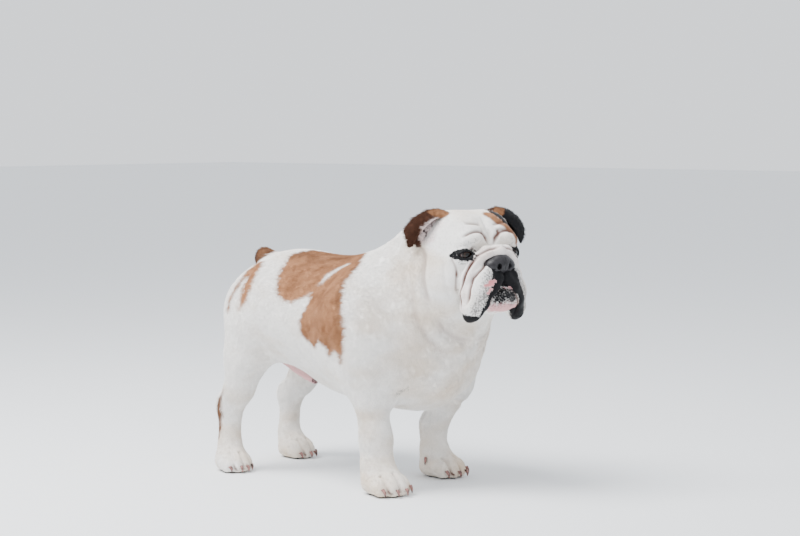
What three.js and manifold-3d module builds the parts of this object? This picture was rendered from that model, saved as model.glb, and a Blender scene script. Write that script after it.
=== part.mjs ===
// An adult English bulldog, standing with its weight forward, at life size.
// Millimetres. +X runs towards the nose, +Y to the dog's left, +Z up, and the floor is at z = 0.
// The flesh is one smooth field of rounded masses. Closed cages are wrapped round centre lines, pushed
// out to where that field ends, and parted by thin planar cuts where a person would name the parts.
import * as THREE from "three";
import { mergeVertices } from "three/addons/utils/BufferGeometryUtils.js";
import Module from "manifold-3d";

const wasm = await Module();
wasm.setup();

// Driving dimensions.
const backHeight = 356;
const chestFloor = 130;
const chestHalfWidth = 130;
const shoulderHalfWidth = 152;
const hipHalfWidth = 118;
const gap = 0.3;

// Where each foot stands: the middle of the paw on the floor, how far it turns to the left, how far
// behind it the leg comes down, and the leg's radius just above it.
const feet = {
  fore_right: { x: 149, y: -103, turn: -8, back: 17, girth: 25 },
  fore_left: { x: 110, y: 86, turn: 4, back: 19, girth: 21.5 },
  hind_right: { x: -184, y: -93, turn: -12, back: 10, girth: 18.5 },
  hind_left: { x: -202, y: 80, turn: 6, back: 20, girth: 17.5 },
};

const rad = THREE.MathUtils.degToRad;
const sides = { right: -1, left: 1 };

// The head's own frame has its origin behind the eyes, at their height.
const headFrame = new THREE.Matrix4()
  .makeTranslation(224, 0, 368)
  .multiply(new THREE.Matrix4().makeRotationFromEuler(new THREE.Euler(0, rad(-2), rad(-13), "ZYX")));
const pawFrame = ({ x, y, turn }) =>
  new THREE.Matrix4().makeTranslation(x, y, 0).multiply(new THREE.Matrix4().makeRotationZ(rad(turn)));

// Fields. Each takes a point and gives its distance outside a rounded form, negative inside.
function egg(centre, [a, b, c], turnDeg = [0, 0, 0]) {
  const turn = new THREE.Euler(...turnDeg.map(rad));
  const m = new THREE.Matrix4().makeRotationFromEuler(turn).transpose().elements;
  return (x, y, z) => {
    const px = x - centre[0];
    const py = y - centre[1];
    const pz = z - centre[2];
    const qx = (m[0] * px + m[4] * py + m[8] * pz) / a;
    const qy = (m[1] * px + m[5] * py + m[9] * pz) / b;
    const qz = (m[2] * px + m[6] * py + m[10] * pz) / c;
    const near = Math.hypot(qx, qy, qz);
    const slope = Math.hypot(qx / a, qy / b, qz / c);
    return slope < 1e-9 ? -Math.min(a, b, c) : (near * (near - 1)) / slope;
  };
}

// A rounded taper from a to b.
function limb(a, b, startRadius, endRadius) {
  const d = [b[0] - a[0], b[1] - a[1], b[2] - a[2]];
  const long = d[0] * d[0] + d[1] * d[1] + d[2] * d[2];
  return (x, y, z) => {
    const px = x - a[0];
    const py = y - a[1];
    const pz = z - a[2];
    const t = Math.min(1, Math.max(0, (px * d[0] + py * d[1] + pz * d[2]) / long));
    const away = Math.hypot(px - t * d[0], py - t * d[1], pz - t * d[2]);
    return away - startRadius - t * (endRadius - startRadius);
  };
}

// Joins forms with a rounded fillet of about the given size.
function blend(size, ...forms) {
  return (x, y, z) => {
    let d = forms[0](x, y, z);
    for (let i = 1; i < forms.length; i++) {
      const e = forms[i](x, y, z);
      const h = Math.max(size - Math.abs(d - e), 0) / size;
      d = Math.min(d, e) - (h * h * size) / 4;
    }
    return d;
  };
}

// Takes a form away from another, and rounds the edge that this leaves.
function carve(size, form, cutter) {
  return (x, y, z) => {
    const d = form(x, y, z);
    const e = -cutter(x, y, z);
    const h = Math.max(size - Math.abs(d - e), 0) / size;
    return Math.max(d, e) + (h * h * size) / 4;
  };
}

// A field that is written in its own frame, read from the dog's frame.
function placed(frame, field) {
  const m = frame.clone().invert().elements;
  return (x, y, z) =>
    field(
      m[0] * x + m[4] * y + m[8] * z + m[12],
      m[1] * x + m[5] * y + m[9] * z + m[13],
      m[2] * x + m[6] * y + m[10] * z + m[14],
    );
}
const seenFrom = (frame, field) => placed(frame.clone().invert(), field);
const both = (form) => Object.values(sides).map(form);

// A cut is a plane, and the side that its normal points to is kept.
function cut(point, normal) {
  const n = new THREE.Vector3(...normal).normalize();
  return new THREE.Plane().setFromNormalAndCoplanarPoint(n, new THREE.Vector3(...point));
}
const otherSide = (plane) => new THREE.Plane(plane.normal.clone().negate(), -plane.constant);
const into = (frame, plane) => plane.clone().applyMatrix4(frame.clone().invert());
const outOf = (frame, plane) => plane.clone().applyMatrix4(frame);

function solid(positions, faces) {
  const mesh = new wasm.Mesh({
    numProp: 3,
    vertProperties: new Float32Array(positions),
    triVerts: new Uint32Array(faces),
  });
  return new wasm.Manifold(mesh);
}

function solidOf(geometry) {
  const bare = new THREE.BufferGeometry().setAttribute("position", geometry.getAttribute("position"));
  bare.setIndex(geometry.index);
  const merged = mergeVertices(bare, 1e-3);
  return solid(merged.attributes.position.array, merged.index.array);
}

// A field that also ends a margin past each cut.
function clipped(field, cuts, margin) {
  return (x, y, z) => {
    let d = field(x, y, z);
    for (const { normal, constant } of cuts) {
      d = Math.max(d, -(normal.x * x + normal.y * y + normal.z * z + constant) - margin);
    }
    return d;
  };
}

function largest(made) {
  return made.decompose().sort((a, b) => b.volume() - a.volume())[0];
}

// Keeps what lies on the kept side of every cut, half a gap short of it.
function trimmed(made, cuts) {
  let left = made;
  for (const { normal, constant } of cuts) {
    left = left.trimByPlane(normal.toArray(), gap / 2 - constant);
  }
  return largest(left);
}

// Wraps a closed cage round a line and pushes each point out to the end of the field. The cage runs
// past the cuts by a margin, so that the cuts then leave clean flat faces.
function wrap(field, points, { rings, around, domes = 5, cuts = [], up = [0, 0, 1], grow = 0, margin = 14 }) {
  const line = new THREE.CatmullRomCurve3(points.map((p) => new THREE.Vector3(...p)));
  const kept = clipped((x, y, z) => field(x, y, z) - grow, cuts, margin);
  const upward = new THREE.Vector3(...up);
  const last = rings - 1;
  const vertices = [];
  for (let i = 0; i <= last; i++) {
    const fromEnd = Math.min(i, last - i, domes) / domes;
    const lean = (1 - fromEnd) * (i < last / 2 ? -1 : 1) * (Math.PI / 2);
    const t = THREE.MathUtils.clamp((i - domes) / (last - 2 * domes), 0, 1);
    const centre = line.getPointAt(t);
    const along = line.getTangentAt(t);
    const across = new THREE.Vector3().crossVectors(upward, along).normalize();
    const over = new THREE.Vector3().crossVectors(along, across);
    const count = i === 0 || i === last ? 1 : around;
    for (let j = 0; j < count; j++) {
      const turn = (j / around) * 2 * Math.PI;
      const ray = new THREE.Vector3()
        .addScaledVector(across, Math.cos(lean) * Math.cos(turn))
        .addScaledVector(over, Math.cos(lean) * Math.sin(turn))
        .addScaledVector(along, Math.sin(lean));
      const p = centre.clone();
      for (let step = 0; step < 90; step++) {
        const d = kept(p.x, p.y, p.z);
        p.addScaledVector(ray, -0.8 * d);
        if (Math.abs(d) < 0.01) break;
      }
      vertices.push(p);
    }
  }
  const at = (i, j) => (i === 0 ? 0 : 1 + (i - 1) * around + (i === last ? 0 : j % around));
  const faces = [];
  for (let i = 0; i < last; i++) {
    for (let j = 0; j < around; j++) {
      const [a, b, c, d] = [at(i, j), at(i, j + 1), at(i + 1, j), at(i + 1, j + 1)];
      if (i === 0) faces.push(b, d, c);
      else if (i === last - 1) faces.push(a, b, c);
      else if (vertices[b].distanceTo(vertices[c]) < vertices[a].distanceTo(vertices[d])) {
        faces.push(a, b, c, b, d, c);
      } else faces.push(a, b, d, a, d, c);
    }
  }
  return trimmed(solid(vertices.flatMap((p) => p.toArray()), faces), cuts);
}

// Draws the end of a field as a net: one point in each cell that the surface crosses, moved onto it,
// and one pair of triangles for each grid edge that crosses it.
function net(field, [x0, y0, z0], [x1, y1, z1], step) {
  const [nx, ny, nz] = [x1 - x0, y1 - y0, z1 - z0].map((span) => Math.ceil(span / step) + 1);
  const values = new Float64Array(nx * ny * nz);
  const place = (i, j, k) => (k * ny + j) * nx + i;
  const corner = (i, j, k) => new THREE.Vector3(x0 + i * step, y0 + j * step, z0 + k * step);
  for (let k = 0; k < nz; k++) {
    for (let j = 0; j < ny; j++) {
      for (let i = 0; i < nx; i++) {
        values[place(i, j, k)] = field(...corner(i, j, k).toArray());
      }
    }
  }
  const corners = [0, 1, 2, 3, 4, 5, 6, 7].map((n) => [n & 1, (n >> 1) & 1, n >> 2]);
  const edges = corners.flatMap((_, n) => [1, 2, 4].filter((bit) => !(n & bit)).map((bit) => [n, n | bit]));
  const vertices = [];
  const indexOf = new Map();
  const slopeAt = (p) => {
    const e = 0.5;
    return new THREE.Vector3(
      field(p.x + e, p.y, p.z) - field(p.x - e, p.y, p.z),
      field(p.x, p.y + e, p.z) - field(p.x, p.y - e, p.z),
      field(p.x, p.y, p.z + e) - field(p.x, p.y, p.z - e),
    ).divideScalar(2 * e);
  };
  for (let k = 0; k < nz - 1; k++) {
    for (let j = 0; j < ny - 1; j++) {
      for (let i = 0; i < nx - 1; i++) {
        const value = corners.map(([a, b, c]) => values[place(i + a, j + b, k + c)]);
        const crossed = edges.filter(([a, b]) => value[a] < 0 !== value[b] < 0);
        if (!crossed.length) continue;
        const p = new THREE.Vector3();
        for (const [a, b] of crossed) {
          const t = value[a] / (value[a] - value[b]);
          const from = new THREE.Vector3(...corners[a]);
          p.add(from.lerp(new THREE.Vector3(...corners[b]), t));
        }
        p.multiplyScalar(step / crossed.length).add(corner(i, j, k));
        const low = corner(i, j, k).addScalar(0.1 * step);
        const high = corner(i, j, k).addScalar(0.9 * step);
        for (let pass = 0; pass < 4; pass++) {
          const slope = slopeAt(p);
          p.addScaledVector(slope, -field(p.x, p.y, p.z) / Math.max(slope.lengthSq(), 0.2)).clamp(low, high);
        }
        indexOf.set(place(i, j, k), vertices.length);
        vertices.push(p);
      }
    }
  }
  const faces = [];
  const axes = [[1, 0, 0], [0, 1, 0], [0, 0, 1]];
  for (let k = 1; k < nz - 1; k++) {
    for (let j = 1; j < ny - 1; j++) {
      for (let i = 1; i < nx - 1; i++) {
        const here = values[place(i, j, k)] < 0;
        for (let n = 0; n < 3; n++) {
          const along = axes[n];
          const u = axes[(n + 1) % 3];
          const v = axes[(n + 2) % 3];
          const there = values[place(i + along[0], j + along[1], k + along[2])] < 0;
          if (here === there) continue;
          const quad = [[0, 0], [1, 0], [1, 1], [0, 1]].map(([a, b]) =>
            indexOf.get(place(i - a * u[0] - b * v[0], j - a * u[1] - b * v[1], k - a * u[2] - b * v[2])),
          );
          if (!here) quad.reverse();
          const [a, b, c, d] = quad;
          const short = vertices[a].distanceTo(vertices[c]) < vertices[b].distanceTo(vertices[d]);
          faces.push(...(short ? [a, b, c, a, c, d] : [a, b, d, b, c, d]));
        }
      }
    }
  }
  // Evens the net out along the surface.
  const around = vertices.map(() => new Set());
  for (let f = 0; f < faces.length; f += 3) {
    for (let e = 0; e < 3; e++) {
      around[faces[f + e]].add(faces[f + ((e + 1) % 3)]).add(faces[f + ((e + 2) % 3)]);
    }
  }
  for (let pass = 0; pass < 6; pass++) {
    const moved = vertices.map((p, n) => {
      const middle = new THREE.Vector3();
      for (const m of around[n]) middle.addScaledVector(vertices[m], 1 / around[n].size);
      return middle.lerp(p, 0.4);
    });
    moved.forEach((p, n) => {
      for (let again = 0; again < 3; again++) {
        const slope = slopeAt(p);
        p.addScaledVector(slope, -field(p.x, p.y, p.z) / Math.max(slope.lengthSq(), 0.2));
      }
      vertices[n].copy(p);
    });
  }
  return solid(vertices.flatMap((p) => p.toArray()), faces);
}

// The trunk's masses.
const ribCage = egg(
  [58, 0, (backHeight + chestFloor) / 2 - 3],
  [150, chestHalfWidth, (backHeight - chestFloor) / 2],
);
const foreChest = egg([136, 0, 214], [86, 96, 92]);
const loin = egg([-78, 0, 272], [126, 96, 84], [0, 3, 0]);
const croup = egg([-136, 0, 272], [72, 90, 74]);
const sheath = limb([-158, 0, 190], [-94, 0, 157], 10, 9);
const belly = egg([-26, 0, 222], [92, 64, 66], [0, 20, 0]);
const withers = egg([76, 0, 296], [66, 80, 46]);
const shoulder = (side) =>
  egg([100, side * (shoulderHalfWidth - 48), 236], [60, 48, 88], [side * -6, -10, 0]);
const thigh = (side) => egg([-142, side * (hipHalfWidth - 44), 254], [66, 44, 58], [0, 16, 0]);
const flank = (side) => egg([-50, side * 60, 252], [84, 44, 50]);
const rump = [loin, croup, ...both(thigh), ...both(flank)];
const front = [foreChest, withers, ...both(shoulder)];
const trunk = blend(12, blend(50, ribCage, belly, ...front, ...rump), sheath);
const neckForm = blend(
  40,
  limb([96, 0, 278], [176, 0, 346], 88, 82),
  egg([186, 0, 278], [62, 80, 64], [0, -30, 0]),
);

// The legs' masses. Each reaches from the trunk down to its foot.
function foreleg(side, { x, y, back, girth }) {
  const shin = x - back;
  const elbow = egg([97, side * 110, 176], [25, 22, 28]);
  const joint = [121, side * 103, 150];
  const upper = blend(16, limb([114, side * 109, 196], joint, 35, 29), elbow);
  const wrist = [shin - 2, y, 84];
  return blend(14, upper, limb(joint, wrist, 28, girth), limb(wrist, [shin, y, 30], girth, girth));
}
function hindleg(side, { x, y, back, girth }) {
  const shin = x - back;
  const knee = [-158 + (shin + 194) * 0.3, side * 88, 190];
  const shank = [knee[0] * 0.4 + (shin + 16) * 0.6, y, 136];
  const heel = [shin + 3, y, 108];
  return blend(
    14,
    limb([-146, side * 82, 232], knee, 46, 36),
    limb(knee, shank, 38, 25),
    limb(shank, heel, 25, 21),
    limb(heel, [shin, y, 34], girth + 2, girth),
    egg([shin - 9, y, 112], [14, 13, 18]),
  );
}

// A paw, in its own frame: the pads' middle on the floor at the origin, toes towards +X.
const paws = {
  fore: { length: 84, width: 72 },
  hind: { length: 71, width: 58 },
};
const toePlaces = ({ length, width }) =>
  [-1, -0.34, 0.34, 1].map((spread) => ({
    y: spread * (width / 2 - 11),
    tipX: length / 2 - (Math.abs(spread) < 0.5 ? 10 : 20),
    fan: spread * 9,
  }));
function pawField(size, back, girth) {
  const toes = toePlaces(size).map(({ y, tipX, fan }) => {
    const lean = Math.tan(rad(fan)) * 26;
    return blend(
      8,
      limb([tipX - 28, y * 0.8 - lean * 0.5, 20], [tipX - 4, y + lean * 0.4, 9], 12, 10.5),
      egg([tipX - 10, y, 17], [12, 9.5, 13]),
    );
  });
  const pad = egg([-14, 0, 14], [size.length * 0.34, size.width * 0.4, 18]);
  const instep = limb([-back, 0, 42], [6, 0, 22], girth, girth * 0.9);
  return blend(12, pad, instep, blend(3, ...toes));
}

const legs = Object.entries(feet).map(([name, foot]) => {
  const [kind, sideName] = name.split("_");
  const side = sides[sideName];
  const leg = kind === "fore" ? foreleg(side, foot) : hindleg(side, foot);
  const paw = pawField(paws[kind], foot.back, foot.girth);
  return { kind, sideName, side, foot, size: paws[kind], frame: pawFrame(foot), leg, paw };
});
const legField = ({ leg, paw, frame }) => blend(12, leg, placed(frame, paw));

// The head's masses, in its own frame.
const eyeAt = (side) => [50, side * 44, 0];
const eyeRadius = 12;
const skull = blend(
  24,
  egg([-14, 0, 12], [76, 72, 50]),
  ...both((side) => egg([12, side * 30, 32], [38, 32, 32])),
  ...both((side) => egg([2, side * 50, -34], [50, 36, 52])),
);
const brow = (side) => egg([48, side * 36, 24], [19, 25, 14], [side * -14, 0, side * 14]);
const orbit = (side) => egg([43, side * 44, -3], [19, 22, 18], [0, 0, side * 25]);
const headForm = blend(9, skull, ...both(brow), ...both(orbit));
const upperLip = (side) => limb([70, side * 21, -38], [62, side * 37, -80], 24, 20);
const rope = (side) => {
  const line = [[74, 0, 2], [67, 22, 0], [60, 38, -16], [57, 47, -40], [54, 50, -66], [50, 46, -84]];
  const points = line.map(([x, y, z]) => [x, side * y, z]);
  return blend(4, ...points.slice(1).map((p, i) => limb(points[i], p, 10, 10)));
};
const muzzleForm = blend(5, blend(10, egg([46, 0, -32], [40, 44, 38]), ...both(upperLip)), ...both(rope));
const jawForm = blend(9, egg([60, 0, -77], [28, 37, 16]), limb([75, -11, -63], [75, 11, -63], 15, 15));
const noseWing = (side) => egg([78, side * 14, -19], [13, 12, 12]);
const noseForm = blend(6, egg([80, 0, -14], [14, 18, 15]), ...both(noseWing));

const bodyForm = blend(18, blend(40, trunk, neckForm), ...legs.map(legField));
const tailForm = blend(
  8,
  limb([-182, 2, 326], [-206, 6, 346], 25, 16),
  limb([-206, 6, 346], [-218, 8, 334], 16, 12),
);
const whole = blend(24, bodyForm, tailForm, placed(headFrame, headForm));

// The cuts. A plane keeps the side that its normal points to.
const trunkToNeck = cut([70, 0, 372], [0.7, 0, 0.71]);
const neckToHead = outOf(headFrame, cut([-40, 0, 0], [1, 0, 0.55]));
const shinToPaw = cut([0, 0, 40], [0, 0, -1]);
const floor = cut([0, 0, -gap / 2], [0, 0, 1]);
const limbCuts = {
  fore: ({ side }) => [
    cut([120, side * 76, 140], [0, side * 0.5, -0.87]),
    cut([120, side * 60, 140], [0, side, 0]),
    cut([58, 0, 0], [1, 0, 0]),
  ],
  hind: ({ side }) => [
    cut([-145, side * 54, 200], [-0.25, side * 0.5, -0.83]),
    cut([-145, side * 26, 200], [0, side, 0]),
    cut([-70, 0, 0], [-1, 0, 0]),
  ],
};
const kneeCut = ({ foot }) => cut([foot.x + 14, foot.y, 136], [-0.3, 0, -1]);
const tailCuts = [cut([-192, 4, 334], [-0.72, 0, 0.69]), cut([0, 0, 312], [0, 0, 1])];

// What is left of the trunk once the space within some cuts is taken away from it.
function without(made, cuts) {
  const space = cuts.reduce(
    (left, { normal, constant }) => left.trimByPlane(normal.toArray(), -gap / 2 - constant),
    solidOf(new THREE.BoxGeometry(2000, 2000, 2000)),
  );
  return made.subtract(space);
}

const white = new THREE.MeshStandardMaterial({ color: 0xe9e4dc, roughness: 0.85, metalness: 0 });
const tan = new THREE.MeshStandardMaterial({ color: 0xa9703f, roughness: 0.8, metalness: 0 });
const black = new THREE.MeshStandardMaterial({ color: 0x1d1b1e, roughness: 0.4, metalness: 0 });
const brown = new THREE.MeshStandardMaterial({ color: 0x5d3620, roughness: 0.8, metalness: 0 });
const lip = new THREE.MeshStandardMaterial({ color: 0x8a7f80, roughness: 0.7, metalness: 0 });
const horn = new THREE.MeshStandardMaterial({ color: 0x7a5a50, roughness: 0.5, metalness: 0 });
const eyeBrown = new THREE.MeshStandardMaterial({ color: 0x2a1710, roughness: 0.1, metalness: 0 });

function node(name, made, material) {
  const { numProp, vertProperties, triVerts } = made.getMesh();
  const positions = new Float32Array((vertProperties.length / numProp) * 3);
  for (let i = 0; i < positions.length / 3; i++) {
    positions.set(vertProperties.subarray(i * numProp, i * numProp + 3), i * 3);
  }
  const geometry = new THREE.BufferGeometry();
  geometry.setAttribute("position", new THREE.BufferAttribute(positions, 3));
  geometry.setIndex(new THREE.BufferAttribute(triVerts, 1));
  geometry.computeVertexNormals();
  const mesh = new THREE.Mesh(geometry, material);
  mesh.name = name;
  return mesh;
}

function groupAt(frame) {
  const group = new THREE.Group();
  frame.decompose(group.position, group.quaternion, group.scale);
  return group;
}

const dog = new THREE.Group();

// One net of the trunk, neck and legs is parted by the cuts.
const abovePaws = cut([0, 0, 40], [0, 0, 1]);
const bodyField = clipped(whole, [otherSide(neckToHead), abovePaws], 15);
const bodyNet = net(bodyField, [-266, -178, -2], [300, 180, 460], 17);
let torso = without(trimmed(bodyNet, [otherSide(trunkToNeck)]), tailCuts);
for (const leg of legs) {
  const { kind, sideName, side, foot } = leg;
  const cuts = limbCuts[kind](leg);
  torso = without(torso, cuts);
  const shin = foot.x - foot.back;
  if (kind === "fore") {
    const line = [[119, side * 106, 152], [shin, foot.y, 50]];
    const shape = { rings: 18, around: 18, up: [1, 0, 0], cuts: [...cuts, otherSide(shinToPaw)] };
    dog.add(node(`foreleg_${sideName}`, wrap(whole, line, shape), white));
  } else {
    const knee = kneeCut(leg);
    const line = [[shin + 12, foot.y, 128], [shin, foot.y, 94], [shin, foot.y, 50]];
    const shape = { rings: 16, around: 14, domes: 4, up: [1, 0, 0], cuts: [knee, otherSide(shinToPaw)] };
    dog.add(node(`thigh_${sideName}`, trimmed(bodyNet, [...cuts, otherSide(knee)]), white));
    dog.add(node(`hind_shin_${sideName}`, wrap(whole, line, shape), white));
  }
}
dog.add(node("torso", largest(torso), white));
dog.add(node("neck", trimmed(bodyNet, [trunkToNeck, otherSide(neckToHead)]), white));
dog.add(node("tail", wrap(whole, [[-192, 4, 332], [-206, 6, 342]], {
  rings: 12, around: 14, domes: 4, cuts: tailCuts, margin: 8,
}), tan));

// Claws: short, bent horns, one on each toe and one on the inner side of each foreleg.
const clawLength = 13;
const clawRadius = 3.3;
function clawAt([x, y, z], [lift, turn]) {
  const outline = [[0, 0], [0.8, 0], [1, 0.25], [0.62, 0.68], [0, 1]];
  const shape = new THREE.LatheGeometry(
    outline.map(([r, along]) => new THREE.Vector2(r * clawRadius, along * clawLength)),
    6,
  );
  const place = shape.getAttribute("position");
  for (let i = 0; i < place.count; i++) {
    place.setX(i, place.getX(i) + 0.022 * place.getY(i) ** 2);
  }
  shape.rotateZ(rad(lift - 90)).rotateX(rad(90)).rotateZ(rad(turn)).translate(x, y, z);
  return solidOf(shape);
}
for (const { kind, sideName, side, size, frame, foot } of legs) {
  const paw = (grow) =>
    wrap(seenFrom(frame, whole), [[-14, 0, 20], [10, 0, 18]], {
      rings: 16, around: 20, cuts: [into(frame, shinToPaw), floor], grow,
    });
  const group = groupAt(frame);
  group.add(node(`${kind}paw_${sideName}`, paw(0), white));
  const claws = toePlaces(size).map(({ y, tipX, fan }) => clawAt([tipX + 1, y * 1.02, 11], [-32, fan]));
  if (kind === "fore") claws.push(clawAt([4 - foot.back, -side * (foot.girth + 2.5), 28], [-30, -side * 75]));
  claws.forEach((claw, n) => {
    const name = n < 4 ? `claw_${kind}_${sideName}_${n + 1}` : `dewclaw_${sideName}`;
    group.add(node(name, largest(trimmed(claw.subtract(paw(gap)), [floor])), horn));
  });
  dog.add(group);
}

// The head's solids are all in its own frame.
const headGroup = groupAt(headFrame);
const headField = seenFrom(headFrame, whole);
const headCage = (grow) =>
  wrap(headField, [[-6, 0, -8], [20, 0, -14]], {
    rings: 30, around: 36, domes: 11, cuts: [into(headFrame, neckToHead)], grow, margin: 24,
  });
const jawCage = (grow) =>
  wrap(jawForm, [[50, 0, -72], [62, 0, -70]], { rings: 12, around: 18, domes: 4, grow });
const noseCage = (grow) =>
  wrap(noseForm, [[78, -8, -16], [78, 8, -16]], { rings: 12, around: 16, domes: 4, grow });
const muzzleCage = wrap(muzzleForm, [[44, 0, -34], [58, 0, -38]], { rings: 18, around: 26, domes: 7 });
const oval = ([x, y, z], [a, b, c], [roll, turn], detail = 14) => {
  const shape = new THREE.SphereGeometry(1, detail, detail / 2 + 2).rotateX(Math.PI / 2);
  return solidOf(shape.scale(a, b, c).rotateX(rad(roll)).rotateZ(rad(turn)).translate(x, y, z));
};

let head = headCage(0);
for (const [name, side] of Object.entries(sides)) {
  const eye = (grow) => oval(eyeAt(side), Array(3).fill(eyeRadius + grow), [0, 0], 12);
  const opening = oval([62, side * 49, 0], [10, 10.5, 5.2], [side * -8, side * 25], 12);
  head = head.subtract(eye(gap)).subtract(opening);
  headGroup.add(node(`eye_${name}`, eye(0), eyeBrown));
}
headGroup.add(node("head", largest(head), white));

let nose = noseCage(0);
for (const side of Object.values(sides)) {
  nose = nose.subtract(oval([92, side * 11, -18], [8, 4.6, 5.6], [0, side * 20], 8));
  nose = nose.subtract(oval([89, side * 18, -22], [8, 8, 2.2], [side * 10, side * 20], 8));
}
headGroup.add(node("nose", largest(nose.subtract(headCage(gap))), black));
const muzzle = muzzleCage.subtract(headCage(gap)).subtract(jawCage(gap)).subtract(noseCage(gap));
headGroup.add(node("muzzle", largest(muzzle), lip));
headGroup.add(node("lower_jaw", largest(jawCage(0).subtract(headCage(gap))), lip));

// A rose ear, from its root on the skull over the fold to its free edge. The root is at v across it.
const earThickness = 4;
const earLines = {
  root: [[12, 38, 52], [6, 56, 46], [-4, 68, 30], [-4, 74, 6]],
  cup: [[6, 44, 60], [-12, 62, 56], [-20, 84, 40], [-16, 90, 20]],
  fold: [[12, 44, 62], [2, 62, 67], [-12, 88, 55], [-20, 101, 38]],
  flap: [[14, 46, 60], [8, 66, 60], [-2, 91, 44], [-14, 102, 26]],
  edge: [[15, 46, 58], [8, 66, 54], [0, 86, 36], [-12, 97, 11]],
};
const earSwing = { right: 0, left: -34 };
function earSheet(side, swing) {
  const lines = Object.values(earLines).map(
    (line) => new THREE.CatmullRomCurve3(line.map(([x, y, z]) => new THREE.Vector3(x, y, z))),
  );
  const surface = (u, v) => {
    const across = new THREE.CatmullRomCurve3(lines.map((line) => line.getPoint(v)));
    return across.getPoint(u);
  };
  const [nu, nv] = [10, 7];
  const layers = [0.5, -0.5].map((half) => {
    const layer = [];
    for (let i = 0; i <= nu; i++) {
      for (let j = 0; j <= nv; j++) {
        const [u, v] = [i / nu, j / nv];
        const e = 0.02;
        const along = surface(Math.min(1, u + e), v).sub(surface(Math.max(0, u - e), v));
        const beside = surface(u, Math.min(1, v + e)).sub(surface(u, Math.max(0, v - e)));
        const normal = along.cross(beside).normalize();
        layer.push(surface(u, v).addScaledVector(normal, half * earThickness));
      }
    }
    return layer;
  });
  const at = (layer, i, j) => layer * (nu + 1) * (nv + 1) + i * (nv + 1) + j;
  const faces = [];
  const quad = (a, b, c, d) => faces.push(a, b, c, a, c, d);
  for (let i = 0; i < nu; i++) {
    for (let j = 0; j < nv; j++) {
      quad(at(0, i, j), at(0, i + 1, j), at(0, i + 1, j + 1), at(0, i, j + 1));
      quad(at(1, i, j), at(1, i, j + 1), at(1, i + 1, j + 1), at(1, i + 1, j));
    }
  }
  const rim = (a, b) => quad(at(0, ...b), at(0, ...a), at(1, ...a), at(1, ...b));
  for (let i = 0; i < nu; i++) {
    rim([i, 0], [i + 1, 0]);
    rim([i + 1, nv], [i, nv]);
  }
  for (let j = 0; j < nv; j++) {
    rim([nu, j], [nu, j + 1]);
    rim([0, j + 1], [0, j]);
  }
  const pivot = new THREE.Vector3(2, 58, 36);
  const spin = new THREE.Matrix4().makeRotationZ(rad(swing));
  const points = layers.flat().map((q) => {
    const r = q.sub(pivot).applyMatrix4(spin).add(pivot);
    return [r.x, side * r.y, r.z];
  });
  if (side < 0) {
    for (let f = 0; f < faces.length; f += 3) [faces[f], faces[f + 1]] = [faces[f + 1], faces[f]];
  }
  return solid(points.flat(), faces);
}
for (const [name, side] of Object.entries(sides)) {
  const ear = earSheet(side, earSwing[name]).subtract(headCage(gap));
  headGroup.add(node(`ear_${name}`, largest(ear), brown));
}
dog.add(headGroup);

// The origin is on the floor under the middle of the whole.
const middle = new THREE.Box3().setFromObject(dog, true).getCenter(new THREE.Vector3());
dog.position.set(-middle.x, -middle.y, 0);

export default dog;
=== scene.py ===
import math
import bpy
import numpy as np
import openvdb
from mathutils import Matrix, Vector


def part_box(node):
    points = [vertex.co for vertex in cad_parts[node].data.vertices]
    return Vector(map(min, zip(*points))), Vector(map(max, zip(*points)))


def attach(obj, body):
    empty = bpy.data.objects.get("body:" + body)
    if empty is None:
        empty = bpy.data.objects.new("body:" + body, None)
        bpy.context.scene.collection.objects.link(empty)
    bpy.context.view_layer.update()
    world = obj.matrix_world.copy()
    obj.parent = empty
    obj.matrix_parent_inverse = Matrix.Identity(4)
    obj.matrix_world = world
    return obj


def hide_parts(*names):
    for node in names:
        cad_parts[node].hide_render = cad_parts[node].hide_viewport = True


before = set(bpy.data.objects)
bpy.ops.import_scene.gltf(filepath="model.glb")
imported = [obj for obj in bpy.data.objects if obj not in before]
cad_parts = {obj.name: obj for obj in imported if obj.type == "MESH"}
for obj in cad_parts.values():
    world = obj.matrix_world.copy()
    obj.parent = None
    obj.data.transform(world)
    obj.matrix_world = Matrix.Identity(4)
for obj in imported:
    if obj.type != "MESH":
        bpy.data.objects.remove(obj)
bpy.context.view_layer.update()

# Shapes are worked out in millimetres and made in metres. +X is forward, +Y the dog's left.
mm = 0.001
sides = {"Right": -1, "Left": 1}


def boxOf(node):
    lo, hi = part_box(node)
    return np.array(lo) / mm, np.array(hi) / mm


def middleOf(node):
    return sum(boxOf(node)) / 2


def turnAbout(axis, degrees):
    return np.array(Matrix.Rotation(math.radians(degrees), 3, axis))


def awayFrom(p, place):
    return np.linalg.norm(p - np.array(place), axis=1)


def unit(v):
    return v / (np.linalg.norm(v, axis=1)[:, None] + 1e-9)


def numbersOf(items, what, width=3, kind=float):
    # Reads a number or a vector of each item of a mesh.
    values = np.zeros(len(items) * width, kind)
    items.foreach_get(what, values)
    return values.reshape(-1, width)


def placed(name, data):
    made = bpy.data.objects.new(name, data)
    bpy.context.scene.collection.objects.link(made)
    return made


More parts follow.
